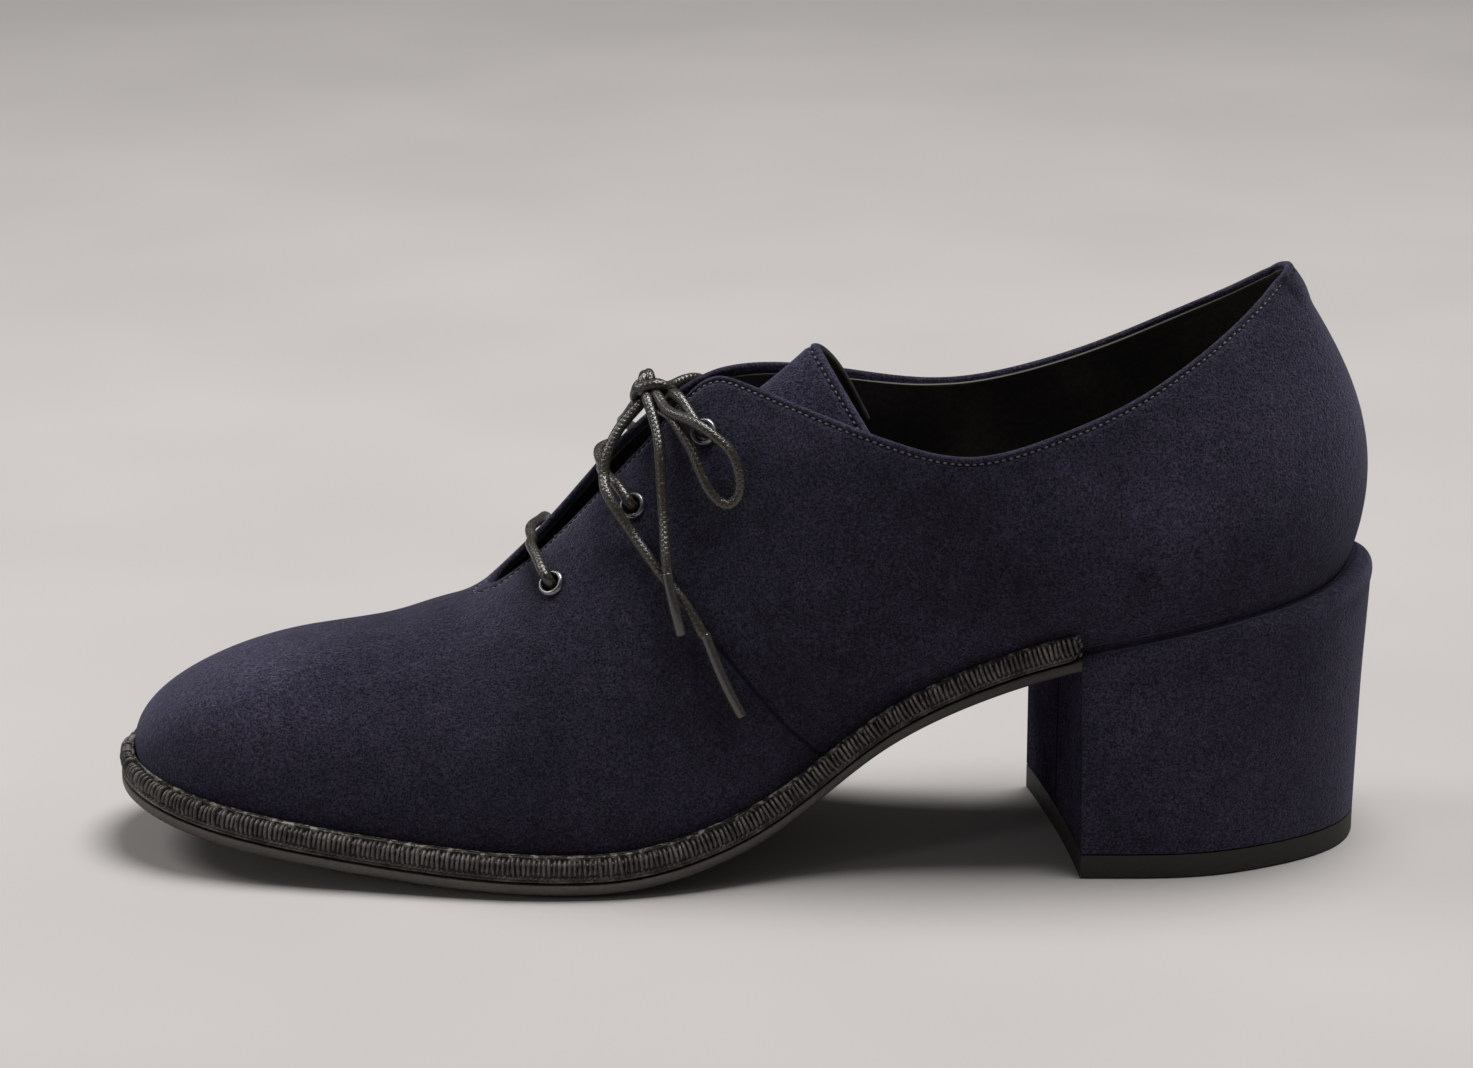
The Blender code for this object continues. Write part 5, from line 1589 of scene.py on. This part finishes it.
def outside_knot(route):
    """The part of a route from the knot's middle that lies clear of the knot."""
    line = smooth_line(route, 400)
    reach = (line - KNOT_ROOT) / np.array(KNOT_HALF)
    return line[np.linalg.norm(reach, axis=1) > 1.0]


def lace_piece(name, line, node):
    return piece(name, cord_mesh(name, line, LACE), waxed_lace, "waxed_lace", node)


waxed_lace = make_waxed_lace()
for number, (eyelet, bar) in enumerate(zip(EYELETS, LACE_BARS), start=1):
    ends = [bar_side(side, eyelet, (bar.outer, bar.inner)[side]) for side in SIDES]
    edges = [on_wall(side, eyelet.top_x + bar.middle, 0.0)[0][0] for side in SIDES]
    middle = (edges[0] + edges[1]) / 2 + (0.0, 0.0, bar.rise - BAR_SINK)
    line = smooth_line(ends[0] + [middle] + ends[1][::-1], 600)
    lace_piece(f"bar_{number}", line, f"lace_bar_{number}")

# The knot's turns, from its middle: the band that arches over the strands in front, the turn that
# comes over its top to the far side, the bulge at its toe end, and the turns behind.
KNOT_TURNS = {
    "band": [
        (2.2, -0.6, -4.6), (2.8, 0.6, -2.9), (2.4, 1.8, -1.4), (1.3, 2.5, -0.6), (-0.3, 2.8, -0.1),
        (-2.2, 2.8, -0.1), (-3.9, 2.4, -1.0), (-5.2, 1.4, -2.5), (-4.9, 0.0, -3.8),
    ],
    "over": [
        (1.4, 2.6, -2.4), (1.3, 2.2, -0.6), (1.1, 1.0, 0.8), (0.9, -0.6, 1.0), (0.8, -2.2, 0.4),
        (0.6, -3.4, -1.2), (0.4, -3.2, -3.6),
    ],
    "beside": [
        (-0.6, 2.0, -1.8), (-0.4, 1.6, -0.4), (-0.2, 0.6, 0.9), (0.0, -0.8, 1.3), (0.0, -2.2, 0.6),
        (0.0, -3.2, -1.2), (0.0, -2.8, -3.4),
    ],
    "bulge": [(0.4, -1.2, -0.6), (1.7, -1.0, -0.8), (2.5, -0.6, -2.0), (2.6, -0.3, -3.6), (2.0, 0.2, -4.8)],
    "behind": [
        (1.5, -2.0, -2.8), (0.2, -2.2, -1.3), (-1.8, -1.8, -1.0), (-3.6, -0.8, -1.8), (-4.6, 0.4, -3.2),
    ],
    "core": [(1.2, 0.6, -3.2), (0.2, 0.6, -1.9), (-1.4, 0.8, -1.7), (-3.0, 0.8, -2.2), (-3.8, 0.6, -3.4)],
}
shape = bmesh.new()
for name, turn in KNOT_TURNS.items():
    line = smooth_line(np.array(turn) + KNOT_MIDDLE, 200)
    shape.from_mesh(cord_mesh(f"knot_{name}", line, LACE))
mesh = bpy.data.meshes.new("bow_knot")
shape.to_mesh(mesh)
shape.free()
mesh.shade_smooth()
piece("bow_knot", mesh, waxed_lace, "waxed_lace", "lace_knot")
tip_finish = make_tip()
for name, route in AGLETS.items():
    line = smooth_line(route, 200)
    line = np.vstack([line[0] + (line[0] - line[20]) * 1.5, line])
    mesh = cord_mesh(f"{name}_tip", line, AGLET, 0.14, 0.14)
    piece(f"{name}_tip", mesh, tip_finish, "waxed_lace", name)
for name, route in LACE_BOW.items():
    line = outside_knot([KNOT_ROOT] + route + ([KNOT_ROOT] if "loop" in name else []))
    made = lace_piece(f"{name}_cord", line, name)
    path = [tuple(place) for place in in_metres(evenly(line, 40))]


# ---- floor, light and camera ----
# The shoe stands on plain pale board, in the daylight of a room and three soft lights: a broad one
# from above, a weaker one past the toe and a small low one that glints on the lace.
mesh = bpy.data.meshes.new("floor")
mesh.from_pydata([(-6, -8, 0), (6, -8, 0), (6, 4, 0), (-6, 4, 0)], [], [(0, 1, 2, 3)])
look = Finish("pale_board")
tone = look.spread(look.noise(look.place, 8.0, 2.0, 0.5), 0.3, 0.7)
mesh.materials.append(look.done(look.mix(tone, (0.46, 0.435, 0.42, 1), (0.50, 0.472, 0.455, 1)), 0.9))
linked("floor", mesh)

world = bpy.data.worlds.new("studio")
bpy.context.scene.world = world
world.use_nodes = True
world.node_tree.nodes["Background"].inputs["Color"].default_value = (1.0, 0.985, 0.97, 1)
world.node_tree.nodes["Background"].inputs["Strength"].default_value = 0.09


def aimed(made, place, way):
    """Stands a light or the camera at a place, looking along this way."""
    made.location = place
    made.rotation_mode = "QUATERNION"
    made.rotation_quaternion = Vector(way).to_track_quat("-Z", "Y")
    return made


def soft_light(name, place, height, size, power):
    """A round lamp that looks at the shoe at this height."""
    lamp = bpy.data.lights.new(name, "AREA")
    lamp.shape = "DISK"
    lamp.size = size
    lamp.energy = power
    aimed(linked(name, lamp), place, Vector((0.0, 0.0, height)) - Vector(place))


soft_light("overhead", (-0.3, -0.15, 1.5), 0.05, 0.9, 26.0)
soft_light("toe_side", (1.0, -0.3, 1.0), 0.05, 0.6, 6.5)
soft_light("low_window", (0.8, 0.5, 0.35), 0.06, 0.16, 0.5)

lens = bpy.data.cameras.new("camera")
lens.lens = 100.0
lens.sensor_width = 36.0
down = np.radians(17.256)
forward = (-0.0543 * np.cos(down), -0.9985 * np.cos(down), -np.sin(down))
camera = aimed(linked("camera", lens), (0.0445, 0.78555, 0.307), forward)
bpy.context.scene.camera = camera
bpy.context.scene.view_settings.view_transform = "Standard"
